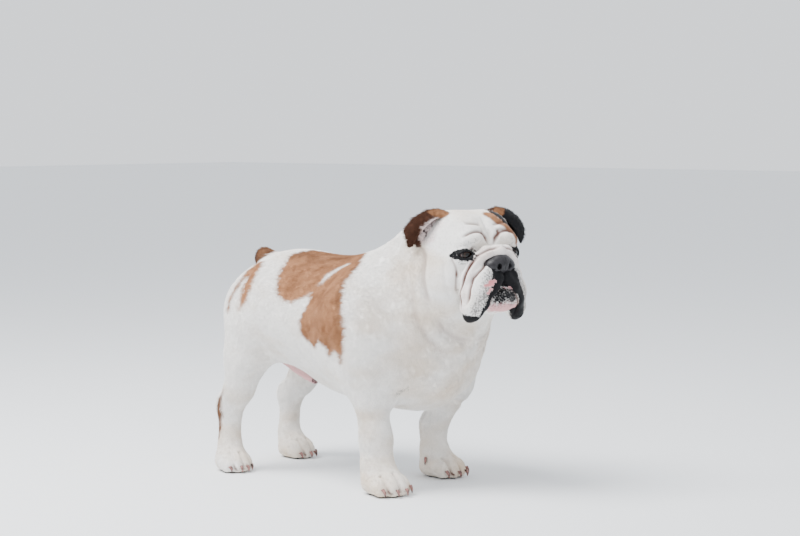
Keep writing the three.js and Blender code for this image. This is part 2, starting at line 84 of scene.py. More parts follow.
# The head's own frame has its origin behind the eyes, with X towards the nose. The trunk's sizes count
# from a place below the spine.
headLayout = {"eyeForward": 50, "eyeOut": 44, "eyeRadius": 12, "pitch": -2, "aheadOfTrunk": 224}
eyeMiddles = {name: middleOf("eye_" + name.lower()) for name in sides}
eyeLine = eyeMiddles["Left"] - eyeMiddles["Right"]
headYaw = math.degrees(math.atan2(-eyeLine[0], eyeLine[1]))
headTurn = turnAbout("Z", headYaw) @ turnAbout("Y", headLayout["pitch"])
eyesMiddle = (eyeMiddles["Left"] + eyeMiddles["Right"]) / 2
headOrigin = eyesMiddle - headTurn @ np.array([headLayout["eyeForward"], 0, 0])
trunkOrigin = np.array([headOrigin[0] - headLayout["aheadOfTrunk"], 0, 0])


def toHead(p):
    return (p - headOrigin) @ headTurn


def fromHead(p):
    return np.asarray(p, float) @ headTurn.T + headOrigin


def fromTrunk(p):
    return np.asarray(p, float) + trunkOrigin


nodeBoxes = [boxOf(node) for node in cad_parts]
solidBox = (np.min([lo for lo, hi in nodeBoxes], axis=0), np.max([hi for lo, hi in nodeBoxes], axis=0))
print("frame read")

# Camera, at the photograph's viewing angle.
cameraSetup = {
    "azimuth": 40.0, "pitch": 3.92, "lens": 94.32, "sensor": 36, "reach": 60,
    "fromEyes": (1929.3, -2503.8, 194.3),
}


def makeCamera():
    data = bpy.data.cameras.new("photoCamera")
    data.lens = cameraSetup["lens"]
    data.sensor_width = cameraSetup["sensor"]
    data.sensor_fit = "HORIZONTAL"
    data.clip_end = cameraSetup["reach"]
    camera = placed("photoCamera", data)
    camera.location = Vector((eyesMiddle + np.array(cameraSetup["fromEyes"])) * mm)
    tilt = math.radians(90 - cameraSetup["pitch"])
    camera.rotation_euler = (tilt, 0, math.radians(cameraSetup["azimuth"]))
    bpy.context.scene.camera = camera


makeCamera()


# Forms. Each takes points and gives their distance outside a rounded shape, negative inside.
def egg(centre, radii, turn=(0, 0, 0)):
    centre, radii = np.array(centre, float), np.array(radii, float)
    m = turnAbout("X", turn[0]) @ turnAbout("Y", turn[1]) @ turnAbout("Z", turn[2])

    def form(p):
        q = (p - centre) @ m / radii
        near = np.linalg.norm(q, axis=1)
        slope = np.linalg.norm(q / radii, axis=1) + 1e-9
        return near * (near - 1) / slope

    return form


def limb(a, b, startRadius, endRadius):
    a, b = np.array(a, float), np.array(b, float)

    def form(p):
        t = np.clip((p - a) @ (b - a) / ((b - a) @ (b - a)), 0, 1)
        away = np.linalg.norm(p - a - t[:, None] * (b - a), axis=1)
        return away - startRadius - t * (endRadius - startRadius)

    return form


def join(d, e, size):
    h = np.maximum(size - np.abs(d - e), 0) / size
    return np.minimum(d, e) - h * h * size / 4


def cutAway(d, cutter, size):
    return -join(-d, cutter, size)


def blend(size, *forms):
    def form(p):
        d = forms[0](p)
        for other in forms[1:]:
            d = join(d, other(p), size)
        return d

    return form


def rope(points, radii, size=3):
    radii = [radii] * len(points) if np.isscalar(radii) else radii
    steps = range(len(points) - 1)
    return blend(size, *[limb(points[i], points[i + 1], radii[i], radii[i + 1]) for i in steps])


def mirrored(points, side):
    return [(x, side * y, z) for x, y, z in points]


def pressed(p, points, inward, depth, width, ends):
    # How deep a line is pressed into a surface at each point, like a blade that is held along the
    # surface's own direction. It fades out towards its ends.
    total = np.zeros(len(p))
    reach = 2.5 * width + abs(depth)
    close = ((p > points.min(0) - reach) & (p < points.max(0) + reach)).all(1)
    q = p[close]
    away = np.full(len(q), 1e9)
    share = np.zeros(len(q))
    count = len(points) - 1
    for i in range(count):
        a, b = points[i], points[i + 1]
        t = np.clip((q - a) @ (b - a) / ((b - a) @ (b - a) + 1e-9), 0, 1)[:, None]
        v = q - a - t * (b - a)
        n = unit(inward[i] * (1 - t) + inward[i + 1] * t)
        v -= n * np.clip((v * n).sum(1), -2, abs(depth) + 2)[:, None]
        d = np.linalg.norm(v, axis=1)
        closer = d < away
        away[closer] = d[closer]
        share[closer] = (i + t[closer, 0]) / count
    fade = np.minimum(1, ends * np.minimum(share, 1 - share) + 0.05)
    total[close] = depth * fade * np.exp(-((away / width) ** 2))
    return total


def smoothLine(points, steps=3):
    # Rounds a line of points with a Catmull-Rom spline.
    pts = np.array(points, float)
    pts = np.vstack([2 * pts[0] - pts[1], pts, 2 * pts[-1] - pts[-2]])
    out = []
    for i in range(1, len(pts) - 2):
        a, b, c, d = pts[i - 1 : i + 3]
        for t in np.arange(steps) / steps:
            bend = (2 * a - 5 * b + 4 * c - d) * t**2 + (3 * b - 3 * c + d - a) * t**3
            out.append(0.5 * (2 * b + (c - a) * t + bend))
    return np.array(out + [pts[-2]])


def ripple(p, size, seed):
    # A smooth, seeded wave pattern between about -1 and 1.
    draw = np.random.default_rng(seed)
    total = np.zeros(len(p))
    for _ in range(7):
        direction = draw.normal(size=3)
        direction *= 2 * math.pi / (size * draw.uniform(0.7, 1.6) * np.linalg.norm(direction))
        total += np.sin(p @ direction + draw.uniform(0, 2 * math.pi))
    return total / 3.5


def ramp(value, start, end):
    t = np.clip((value - start) / (end - start), 0, 1)
    return t * t * (3 - 2 * t)


# The flesh's solids as a grid of distances, which the skin is drawn from.
gridSetup = {
    "cell": 2.0, "band": 12, "margin": 26, "closeGaps": 0.5, "soften": 2, "softenTrunk": 12,
    "earCell": 1.0, "earMargin": 14,
}
limbNodes = [part + side for part in ("foreleg", "thigh", "hind_shin") for side in ("_right", "_left")]
pawNodes = [part + side for part in ("forepaw", "hindpaw") for side in ("_right", "_left")]
fleshNodes = ["torso", "neck", "head", "tail"] + limbNodes + pawNodes
faceNodes = ["muzzle", "lower_jaw", "ear_right", "ear_left"]


def trianglesOf(node):
    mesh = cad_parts[node].data
    mesh.calc_loop_triangles()
    return numbersOf(mesh.vertices, "co") / mm, numbersOf(mesh.loop_triangles, "vertices", 3, np.int32)


class DistanceGrid:
    # Distances on a regular grid, read between its points by blending the eight nearest.
    def __init__(self, low, high, cell, band):
        self.low = np.floor(np.array(low) / cell).astype(int)
        self.corner = tuple(int(n) for n in self.low)
        self.shape = np.ceil(np.array(high) / cell).astype(int) - self.low + 1
        self.cell = cell
        self.band = band
        self.values = np.full(self.shape, float(cell * band), np.float32)
        self.transform = openvdb.createLinearTransform(voxelSize=cell)

    def levelSet(self, points, **faces):
        return openvdb.FloatGrid.createLevelSetFromPolygons(
            points, transform=self.transform, halfWidth=float(self.band), **faces
        )

    def add(self, points, triangles):
        window = np.empty(self.shape, np.float32)
        self.levelSet(points, triangles=triangles).copyToArray(window, ijk=self.corner)
        np.minimum(self.values, window, out=self.values)

    def redraw(self, grow):
        # Draws the surface again, a little outside, so that the thin cuts between solids close.
        grid = openvdb.FloatGrid(self.cell * self.band)
        grid.transform = self.transform
        grid.copyFromArray(self.values, ijk=self.corner)
        points, quads = grid.convertToQuads(isovalue=grow)
        self.levelSet(points, quads=quads).copyToArray(self.values, ijk=self.corner)
        self.values += grow

    def soften(self, passes):
        for _ in range(passes):
            for axis in range(3):
                w = np.moveaxis(self.values, axis, 0)
                w[1:-1] = w[1:-1] * 0.5 + (w[:-2] + w[2:]) * 0.25

    def __call__(self, p):
        q = np.clip(p / self.cell - self.low, 0, np.array(self.shape) - 1.001)
        base = q.astype(int)
        f = (q - base).astype(np.float32)
        flat = self.values.reshape(-1)
        strides = np.array([self.shape[1] * self.shape[2], self.shape[2], 1])
        start = base @ strides
        total = 0
        for corner in np.ndindex(2, 2, 2):
            share = np.abs(1 - np.array(corner, np.float32) - f).prod(1)
            total = total + share * flat[start + strides @ corner]
        return total.astype(float)


def makeGrids():
    setup = gridSetup
    low, high = solidBox[0] - setup["margin"], solidBox[1] + setup["margin"]
    fine, smooth = [DistanceGrid(low, high, setup["cell"], setup["band"]) for _ in range(2)]
    for node in fleshNodes + ["eye_right", "eye_left"]:
        fine.add(*trianglesOf(node))
    fine.redraw(setup["closeGaps"])
    fine.soften(setup["soften"])
    smooth.values[:] = fine.values
    smooth.soften(setup["softenTrunk"])
    ears = {}
    for name in sides:
        lo, hi = boxOf("ear_" + name.lower())
        around = setup["earMargin"]
        ears[name] = DistanceGrid(lo - around, hi + around, setup["earCell"], setup["band"])
        ears[name].add(*trianglesOf("ear_" + name.lower()))
        ears[name].soften(setup["soften"])
    return fine, smooth, ears


fineGrid, smoothGrid, earGrids = makeGrids()
print("solids read as distances")


# The head, in its own frame.
muzzleLayout = {
    "core": ((46, 0, -32), (40, 43, 36)),
    "roll": [(77, 0, 3), (70, 19, 1), (63, 34, -12), (60, 43, -34), (58, 48, -58), (54, 48, -80)],
    "rollRadii": [9.5, 10.5, 12, 11.5, 10.5, 8],
    "flew": [(68, 22, -36), (67, 32, -58), (63, 41, -82), (60, 44, -93)],
    "flewRadii": [23, 21, 15, 9],
    "lip": [(84, 8, -36), (84, 20, -52), (80, 31, -72), (70, 42, -92)],
    "lipRadii": [9, 10, 9.5, 7],
    "chinBall": ((60, 0, -76), (27, 34, 15)),
    "chin": [(76, -14, -67), (80, 0, -65), (76, 14, -67)],
    "chinRadius": 15,
}


def muzzleForm():
    layout = muzzleLayout

    def pair(part, size):
        radii = layout[part + "Radii"]
        return [rope(mirrored(layout[part], side), radii, size) for side in sides.values()]

    core = blend(9, egg(*layout["core"]), *pair("flew", 10))
    lips = blend(7, *pair("lip", 5))
    rolls = blend(8, *pair("roll", 5))
    chin = blend(8, egg(*layout["chinBall"]), rope(layout["chin"], layout["chinRadius"], 6))

    def form(p):
        d = join(core(p), lips(p), 5)
        d = join(d, chin(p), 2)
        return join(d, rolls(p), 3)

    return form


eyeLayout = {
    "look": 24,  # how far each eye looks outwards, in degrees
    "halfWidth": 10.6,
    "upper": 4.1,
    "lower": 4.6,
    "droop": 9,
    "lid": 1.7,
    "rim": 0.9,
    "rimWidth": 1.6,
    "gap": 0.3,
}


def eyeOpening(p, side):
    # How far outside the gap between the lids a point is, and how far from the eyeball's middle.
    setup = eyeLayout
    middle = np.array([headLayout["eyeForward"], side * headLayout["eyeOut"], 0.0])
    turn = turnAbout("Z", side * setup["look"]) @ turnAbout("X", side * setup["droop"] * -1)
    q = (p - middle) @ turn
    across, up = q[:, 1] * side, q[:, 2]
    bow = 1 - np.clip(np.abs(across) / setup["halfWidth"], 0, 2) ** 2
    upper = up - setup["upper"] * bow - 0.06 * across
    lower = -up - setup["lower"] * bow
    return np.where(q[:, 0] > 2, np.maximum(upper, lower) * 0.85, 30), np.linalg.norm(q, axis=1)


# Creases and folds of the face: depth, width and a line over the skin. Each is pressed in, or raised
# where the depth is negative. Both sides carry them unless one side is named.
faceLines = [
    (6.5, 2.4, [  # between the nose and the roll over it, down the front of the roll
        (81, 10, -2), (76, 21, -10), (79, 33, -21), (76, 42, -29), (73, 47, -36), (73, 52, -47),
        (73, 55, -58), (71, 56, -67), (66, 57, -77),
    ]),
    (9.0, 2.6, [  # behind the roll, from the eye's inner corner to the flew
        (74, 34, -2), (68, 44, -13), (64, 50, -22), (62, 54, -34), (57, 56, -47), (55, 57, -60),
        (54, 56, -71), (53, 54, -86),
    ]),
    (4.0, 2.4, [(50, 59, -22), (49, 59, -33), (48, 59, -44), (47, 58, -58), (47, 55, -74)]),
    (3.6, 2.2, [(44, 64, -2), (46, 64, -9), (48, 60, -17), (50, 58, -27), (51, 57, -36)]),
    (2.0, 3.6, [(34, 68, -12), (34, 68, -30), (36, 66, -50), (40, 62, -70)]),
    (5.0, 2.2, [(69, 39, -3), (72, 33, 0), (77, 25, 4), (79, 16, 7), (82, 0, 8)]),
    (2.6, 1.5, [(86, 0, -24), (88, 0, -36), (89, 0, -48)]),
    (6.0, 2.0, [  # the mouth, between the upper lips and the chin
        (89, 1, -49), (91, 9, -54), (92, 18, -61), (91, 25, -70), (87, 27, -79), (76, 31, -89), (66, 35, -97),
    ]),
    (3.4, 3.4, [(79, 0, 8), (66, -3, 13), (60, -1, 24), (54, 3, 36), (46, 0, 47), (36, 1, 58)]),
    (5.5, 2.7, [(60, 6, 17), (60, 10, 27), (61, 24, 34), (60, 42, 32), (54, 52, 24)]),
    (4.0, 2.8, [(52, 10, 44), (52, 26, 47), (44, 40, 45)]),
    (3.2, 2.4, [(66, 4, 14), (64, 10, 22), (62, 14, 30), (56, 15, 40)]),
    (-3.6, 6.0, [(67, 20, 20), (66, 30, 23), (61, 43, 19), (54, 54, 13)]),
    (-2.8, 5.0, [(56, 14, 40), (56, 27, 41), (50, 40, 38)]),
    (-2.0, 6.0, [(44, 12, 55), (42, 26, 55)]),
    (4.0, 2.4, [(66, 22, 11), (65, 34, 10), (60, 46, 8)]),
    (3.4, 1.9, [(58, 12, 32), (59, 17, 37), (60, 32, 36), (64, 35, 27)], "Left"),
]


def headForm(h, base):
    setup = eyeLayout
    eyeRadius = headLayout["eyeRadius"]
    d = join(base, muzzleForm()(h), 3)
    for side in sides.values():
        opening, fromMiddle = eyeOpening(h, side)
        d = join(d, fromMiddle - eyeRadius - setup["lid"], 5)
        d = d - setup["rim"] * np.exp(-((opening - 1.2) / setup["rimWidth"]) ** 2) * (fromMiddle < 22)
        d = cutAway(d, opening, 1.0)
        d = np.maximum(d, eyeRadius + setup["gap"] - fromMiddle)
    return d


# Folds of the trunk and legs, in the trunk's frame, given for the right side. The left has them too.
bodyLines = [
    (10, 5, [(192, -80, 388), (208, -84, 366), (208, -87, 334), (213, -85, 308), (220, -74, 282)]),
    (8, 6, [(220, -74, 282), (226, -58, 254), (232, -30, 240), (234, 0, 236)]),
    (7, 6, [
        (176, -88, 356), (188, -89, 315), (195, -90, 285), (206, -78, 247), (216, -52, 224), (224, 0, 214),
    ]),
    (5, 8, [
        (156, -94, 300), (160, -96, 268), (166, -92, 240), (184, -70, 208), (198, -36, 192), (202, 0, 188),
    ]),
    (2.5, 5, [(150, -64, 168), (168, -34, 160), (178, 0, 166)]),
    (5, 4.5, [(104, -116, 136), (116, -100, 139), (128, -80, 150), (140, -62, 166)]),
    (4, 10, [(96, -150, 170), (84, -148, 206), (80, -150, 240)]),
    (7, 9, [(-92, -84, 192), (-104, -98, 214), (-108, -108, 244)]),
    (4.5, 14, [(104, -112, 312), (84, -134, 268), (70, -146, 220), (76, -146, 178)]),
    (4.5, 12, [(-58, -104, 292), (-76, -112, 258), (-88, -108, 222), (-90, -92, 198)]),
    (3.5, 11, [(-176, -92, 280), (-160, -112, 244), (-156, -112, 204), (-166, -108, 170)]),
    (-3, 16, [(136, -128, 270), (124, -146, 226), (108, -150, 190)]),
    (6, 16, [(-104, -66, 186), (-82, -86, 192), (-58, -92, 190)]),
    (-1.2, 7, [(136, -112, 120), (134, -116, 90), (128, -118, 60)]),
]


def laidOn(form, line, passes, most):
    # Puts a line onto the surface of a form, with the direction into it.
    points = settle(line, form, passes, most)
    return points, -slopeOf(form, points)[1]


def linesOn(form, folds, unside):
    made = []
    for depth, width, line, *only in folds:
        for name, side in sides.items():
            if name in (only or sides):
                onSide = smoothLine(line) * np.array([1, side * unside, 1])
                made.append((*laidOn(form, onSide, 12, 4), depth, width))
    return made


def reliefOf(p, lines, ends=6):
    total = np.zeros(len(p))
    for line in lines:
        total += pressed(p, *line, ends)
    return total


# Furrows between a paw's toes. Each starts between two claws and runs back over the paw.
pawSetup = {
    "fore": {"reach": 23, "depth": 6.0, "width": 2.6},
    "hind": {"reach": 19, "depth": 5.0, "width": 2.3},
    "heights": (2, 8, 15, 21, 26, 29), "tipHeight": 5, "towardsMiddle": 0.12,
}


def pawLines(kind, name):
    lo, hi = boxOf(f"{kind}paw_{name.lower()}")
    claws = [middleOf(f"claw_{kind}_{name.lower()}_{k}") for k in (1, 2, 3, 4)]
    middle = (lo + hi) / 2 * [1, 1, 0]
    ahead = (np.mean(claws, axis=0) - middle) * [1, 1, 0]
    ahead /= np.linalg.norm(ahead)
    heights = pawSetup["heights"]
    for a, b in zip(claws, claws[1:]):
        tip = (a + b) / 2
        tip[2] = pawSetup["tipHeight"]
        root = tip - ahead * pawSetup[kind]["reach"] + (middle - tip) * pawSetup["towardsMiddle"]
        line = np.linspace(tip, root, len(heights))
        line[:, 2] = heights
        yield line


sheathLine = fromTrunk([(-138, -18, 182), (-116, -16, 167), (-95, -14, 156), (-78, -12, 148)])
sheathRadii = [10, 7.5, 6.5, 5]
skinSetup = {
    "coatDepth": 1.1, "faceDepth": 0.5, "earDepth": 0.8, "waves": 0.7, "waveLength": 60,
    "headFade": (70, 125), "headReach": 138, "feetFade": (60, 110), "feetBelow": 50,
    "earBlend": 4, "sheathBlend": 13,
    "cell": 5.4, "finer": 1.0, "fineReach": 95, "coarseReach": 170, "flatBelow": 1.3,
    "splitFace": ((62, 0, -30), 84), "splitAhead": 34, "splitBelow": 40,
}
reliefShare = {"body": 0.5, "face": 0.62, "toes": 0.7}
skullMiddle = (30, 0, -10)


def reliefAt(p):
    # How far each point of the skin is pressed in by the folds.
    h = toHead(p)
    onTrunk = p[:, 2] > skinSetup["feetBelow"]
    onHead = awayFrom(h, skullMiddle) < skinSetup["headFade"][1]
    depth = np.zeros(len(p))
    depth[onTrunk] += reliefShare["body"] * reliefOf(p[onTrunk], bodyFolds, 4)
    depth[~onTrunk] += reliefShare["toes"] * reliefOf(p[~onTrunk], toeFurrows, 30)
    depth[onHead] += reliefShare["face"] * reliefOf(h[onHead], faceFolds)
    return depth


def skinForm(p):
    h = toHead(p)
    fromSkull = awayFrom(h, skullMiddle)
    headNear = 1 - ramp(fromSkull, *skinSetup["headFade"])
    low = 1 - ramp(p[:, 2], *skinSetup["feetFade"])
    keepFine = np.maximum(headNear, low)
    d = smoothGrid(p) * (1 - keepFine) + fineGrid(p) * keepFine
    d += skinSetup["coatDepth"] * (1 - headNear) + skinSetup["faceDepth"] * headNear
    d += skinSetup["waves"] * ripple(p, skinSetup["waveLength"], 3) * (1 - keepFine)
    d = join(d, rope(sheathLine, sheathRadii, 2)(p), skinSetup["sheathBlend"])
    inHead = fromSkull < skinSetup["headReach"]
    face = headForm(h[inHead], d[inHead])
    for grid in earGrids.values():
        face = join(face, grid(p[inHead]) - skinSetup["earDepth"], skinSetup["earBlend"])
    d[inHead] = face
    return d


# The skin's net is drawn on a grid that is stretched round the head, so its cells are finer there.
faceMiddle = fromHead([(36, 0, -12)])[0]
netStep = 0.5
netRadii = np.arange(0, 1200, netStep)
netScale = 1 + skinSetup["finer"] * (1 - ramp(netRadii, skinSetup["fineReach"], skinSetup["coarseReach"]))
stretchedRadii = np.concatenate([[0], np.cumsum(netScale[:-1] * netStep)])


def movedOut(p, before, after):
    q = p - faceMiddle
    r = np.linalg.norm(q, axis=1) + 1e-6
    return faceMiddle + q * (np.interp(r, before, after) / r)[:, None]


def stretch(p):
    return movedOut(p, netRadii, stretchedRadii)


def unstretch(p):
    return movedOut(p, stretchedRadii, netRadii)


def slopeOf(form, p, e=0.35):
    here = form(p)
    return here, np.stack([(form(p + e * step) - here) / e for step in np.eye(3)], axis=1)


def settle(p, form, passes=3, most=2.5):
    # Moves points onto the surface of a form.
    for _ in range(passes):
        here, slope = slopeOf(form, p)
        step = -(here / np.maximum((slope**2).sum(1), 0.25))[:, None] * slope
        long = np.linalg.norm(step, axis=1)[:, None] + 1e-9
        p = p + step * np.minimum(1, most / long)
    return p


def fans(faces):
    # Triangles of four-sided and other flat faces.
    return np.array([(face[0], face[k], face[k + 1]) for face in faces for k in range(1, len(face) - 1)])


def facing(p, corners):
    # The direction that a net of triangles faces at each of its points.
    total = np.zeros_like(p)
    across = np.cross(p[corners[:, 1]] - p[corners[:, 0]], p[corners[:, 2]] - p[corners[:, 0]])
    for k in range(3):
        np.add.at(total, corners[:, k], across)
    return unit(total)


def relax(p, corners, edges, passes, share=0.5):
    # Evens a net out along its surface.
    count = np.bincount(edges.ravel(), minlength=len(p))[:, None]
    for _ in range(passes):
        total = np.zeros_like(p)
        np.add.at(total, edges[:, 0], p[edges[:, 1]])
        np.add.at(total, edges[:, 1], p[edges[:, 0]])
        move = total / np.maximum(count, 1) - p
        normal = facing(p, corners)
        p = p + share * (move - normal * (move * normal).sum(1)[:, None])
    return p


def edgesOf(faces):
    pairs = [(face[k - 1], face[k]) for face in faces for k in range(len(face))]
    return np.unique(np.sort(np.array(pairs), axis=1), axis=0)


def refine(points, faces, chosen):
    # Splits the chosen faces in four. Their neighbours take up the new points on the edges they share.
    points, halves, made = list(points), {}, []
    for face in [face for face, split in zip(faces, chosen) if split]:
        ring = []
        for a, b in zip(face, face[1:] + face[:1]):
            key = (min(a, b), max(a, b))
            if key not in halves:
                halves[key] = len(points)
                points.append((points[a] + points[b]) / 2)
            ring.append(halves[key])
        points.append(sum(points[k] for k in face) / len(face))
        made += [[face[k], ring[k], len(points) - 1, ring[k - 1]] for k in range(len(face))]
    for face in [face for face, split in zip(faces, chosen) if not split]:
        ring = [(a, halves.get((min(a, b), max(a, b)))) for a, b in zip(face, face[1:] + face[:1])]
        made.append([k for pair in ring for k in pair if k is not None])
    return np.array(points), made


def gridOf(*axes):
    return np.stack(np.meshgrid(*axes, indexing="ij"), -1).reshape(-1, 3)


def drawNet(form, low, high, cell, bend=None, unbend=lambda p: p, near=lambda p: np.zeros(len(p))):
    # Quads of a form's surface. Only the cells close to it are worked out in full.
    low, high = np.array(low, float), np.array(high, float)
    if bend:
        bent = bend(gridOf(*[np.linspace(low[k], high[k], 12) for k in range(3)]))
        low, high = bent.min(0), bent.max(0)
    counts = np.ceil((high - low) / cell).astype(int) + 1
    axes = [low[k] + cell * np.arange(counts[k]) for k in range(3)]
    values = np.empty(counts, np.float32)
    for i in range(counts[0]):
        points = unbend(gridOf([axes[0][i]], axes[1], axes[2]))
        rough = near(points)
        full = np.abs(rough) < 20
        rough[full] = form(points[full])
        values[i] = rough.reshape(counts[1:])
    grid = openvdb.FloatGrid(100.0)
    grid.copyFromArray(values)
    points, quads = grid.convertToQuads(isovalue=0.0)
    return unbend(points * cell + low), quads.astype(int)


def largestShell(points, quads):
    # Keeps the largest connected net.
    label, before = np.arange(len(points)), None
    edges = edgesOf(quads.tolist())
    while before is None or (label != before).any():
        low = np.minimum(label[edges[:, 0]], label[edges[:, 1]])
        before = label.copy()
        np.minimum.at(label, edges[:, 0], low)
        np.minimum.at(label, edges[:, 1], low)
        label = label[label]
    keep = label == np.bincount(label).argmax()
    index = np.cumsum(keep) - 1
    return points[keep], index[quads[keep[quads].all(1)]]


def meshObject(name, points, faces):
    mesh = bpy.data.meshes.new(name)
    mesh.from_pydata(np.asarray(points) * mm, [], [list(map(int, face)) for face in faces])
    mesh.validate()
    mesh.polygons.foreach_set("use_smooth", [True] * len(mesh.polygons))
    return placed(name, mesh)


def roughSkin(p):
    d = fineGrid(p)
    h = toHead(p)
    inHead = awayFrom(h, skullMiddle) < skinSetup["headReach"] + 4
    for part in (muzzleForm()(h[inHead]), *[grid(p[inHead]) for grid in earGrids.values()]):
        d[inHead] = np.minimum(d[inHead], part)
    return d


trunkLines = [(depth, width, fromTrunk(line)) for depth, width, line in bodyLines]
bodyFolds = linesOn(skinForm, trunkLines, -1)
faceFolds = linesOn(lambda h: skinForm(fromHead(h)), faceLines, 1)
toeFurrows = []
for kind in ("fore", "hind"):
    for name in sides:
        for line in pawLines(kind, name):
            furrow = (pawSetup[kind]["depth"], pawSetup[kind]["width"])
            toeFurrows.append((*laidOn(skinForm, line, 8, 3), *furrow))
print("folds laid on the skin")


def makeSkin():
    low, high = solidBox[0] - 8, solidBox[1] + 8
    points, quads = drawNet(skinForm, low, high, skinSetup["cell"], stretch, unstretch, roughSkin)
    points, quads = largestShell(points, quads)
    middles = points[quads].mean(1)
    h = toHead(middles)
    middle, reach = skinSetup["splitFace"]
    onFace = (h[:, 0] > skinSetup["splitAhead"]) & (awayFrom(h, middle) < reach)
    onPaw = middles[:, 2] < skinSetup["splitBelow"]
    points, faces = refine(points, quads.tolist(), onFace | onPaw)
    corners = fans(faces)
    points = relax(points, corners, edgesOf(faces), 3)
    points = settle(points, skinForm, 3)
    points = points - unit(slopeOf(skinForm, points)[1]) * reliefAt(points)[:, None]
    points[:, 2] = np.where(points[:, 2] < skinSetup["flatBelow"], 0, points[:, 2])
    print("skin net has", len(points), "points and", len(corners), "triangles")
    return meshObject("skin", points, faces)


skin = makeSkin()


# Markings. A patch is an outline round the trunk, given by how far forward a point is and by the angle
# from the spine down the right side. A stroke is a line over the skin with a radius at each point.
patches = {
    "saddle": [
        (-105, 14), (-92, 33), (-88, 43), (-72, 58), (-55, 65), (-36, 66), (-12, 62), (1, 57), (2, 63),
        (-2, 71), (-10, 80), (-6, 88), (8, 93), (20, 95), (34, 98), (48, 92), (62, 93), (76, 98), (88, 94),
        (98, 98), (104, 102), (112, 95), (114, 86), (109, 76), (100, 66), (93, 56), (84, 44), (80, 32),
        (60, 18), (30, 2), (-12, -8), (-52, -10), (-88, 0),
    ],
    "slit": [(6, 50), (12, 49), (20, 42), (30, 34), (46, 29), (40, 28), (26, 31), (12, 40)],
}
trunkStrokes = {
    "rump": ([(-152, -62, 342), (-140, -82, 334), (-136, -102, 314), (-134, -112, 298), (-135, -121, 284),
              (-139, -125, 273)], [9, 9, 9.5, 9, 8, 5]),
    "rumpBehind": ([(-152, -80, 332), (-156, -100, 316), (-162, -108, 302), (-169, -114, 285),
                    (-173, -118, 266), (-177, -120, 246)], [9, 6, 5, 5, 4, 2]),
    "rumpLeft": ([(-160, 20, 345), (-150, 62, 338), (-146, 88, 322), (-146, 106, 300), (-148, 116, 280)],
                 [14, 16, 15, 12, 7]),
    "hock": ([(-184, -117, 142), (-194, -117, 122), (-196, -114, 100), (-198, -110, 78), (-202, -108, 56)],
             [2, 6, 7, 5, 2]),
    "tail": ([(-176, 2, 322), (-206, 6, 346), (-218, 8, 334)], [24, 24, 22]),
    # A short line of painted shade where the chest creases at the breastbone.
    "sternumShade": ([(160, -88, 157), (172, -80, 165)], [1.5, 2.5]),
}
trunkAxis = 235
faceCentre = (40, 0, -20)
acrossDegree = 1.9  # millimetres along the side for each degree
ragged = {"size": 5, "depth": 2.2, "softness": 2.0}


def outlineAway(q, outline):
    # Signed distance to a closed outline in the plane, negative inside.
    pts = np.array(outline, float)
    away = np.full(len(q), 1e9)
    inside = np.zeros(len(q), bool)
    for a, b in zip(pts, np.roll(pts, -1, 0)):
        side = b - a
        t = np.clip((q - a) @ side / (side @ side), 0, 1)
        away = np.minimum(away, np.linalg.norm(q - a - t[:, None] * side, axis=1))
        crosses = (a[1] > q[:, 1]) != (b[1] > q[:, 1])
        at = (b[0] - a[0]) * (q[:, 1] - a[1]) / (b[1] - a[1] + 1e-12) + a[0]
        inside ^= crosses & (q[:, 0] < at)
    return np.where(inside, -away, away)


def strokeAway(p, stroke, side=1):
    line, radii = stroke
    return rope(mirrored(line, side), radii, 2)(p)


def markAt(away, roughness):
    return ramp(-(away + roughness), -ragged["softness"], ragged["softness"])


# Strokes on both sides of the face: the mark, its strength, how far inside the stroke's edge it starts and
# is full, how ragged it is and with what, and the stroke. Those round the eyes come first.
lidStrokes = [
    ("black", 0.95, -2.4, 0.8, 0.6, "fine",
     ([(42, 66, -1), (48, 62, 2), (54, 59, 4), (60, 53, 6), (63, 46, 6)], [1.0, 2.2, 2.8, 2.6, 2.2])),
    ("black", 0.62, -2.4, 0.8, 0.6, "fine",
     ([(63, 43, 6), (62, 36, 8), (60, 31, 4), (62, 27, 4)], [2.0, 3.0, 2.8, 1.0])),
    ("black", 0.7, -2.4, 0.8, 0.6, "fine", ([(62, 27, 4), (66, 30, -1), (69, 38, -4)], [1.2, 2.4, 2.4])),
    ("black", 0.9, -2.4, 0.8, 0.6, "fine",
     ([(44, 65, -2), (50, 61, -3), (57, 55, -6), (62, 48, -8), (67, 43, -7), (69, 38, -4)],
      [1.6, 2.6, 2.0, 1.6, 1.8, 2.0])),
    ("black", 0.32, -2.4, 0.8, 0.6, "fine", ([(52, 58, -12), (58, 50, -13), (63, 44, -12)], [2.2, 3.0, 2.4])),
    ("dots", 0.26, -4, 2, 0, "fine", ([(55, 56, 10), (60, 51, 15), (64, 41, 17), (67, 35, 22)], 4)),
]
lipLine = [
    (90, 8, -28), (91, 10, -42), (93, 14, -54), (92, 21, -64), (89, 28, -75), (79, 33, -87), (69, 40, -96),
]
lipWidths = {-1: [12, 13, 12, 9, 6, 4, 5], 1: [13, 15, 15, 13, 11, 9, 7]}
mouthStrokes = [
    ("dots", 1, -9, 9, 0, "fine",
     ([(86, 24, -30), (88, 29, -46), (86, 36, -64), (76, 45, -84)], [9, 10, 10, 8])),
    ("black", 1, -4, 2, 1, "speckle", ([(56, 53, -95), (64, 51, -98), (74, 44, -97)], [6.5, 8, 6.5])),
    ("pink", 0.13, -9, 0, 0, "fine",
     ([(84, 8, 4), (74, 26, 0), (68, 42, -14), (66, 48, -34), (63, 52, -58), (58, 52, -78)], 5)),
    ("black", 1, -2, 2, 0.5, "fine",
     ([(89, 1, -49), (92, 18, -61), (91, 25, -70), (76, 31, -89), (66, 35, -97)], 3.2)),
]
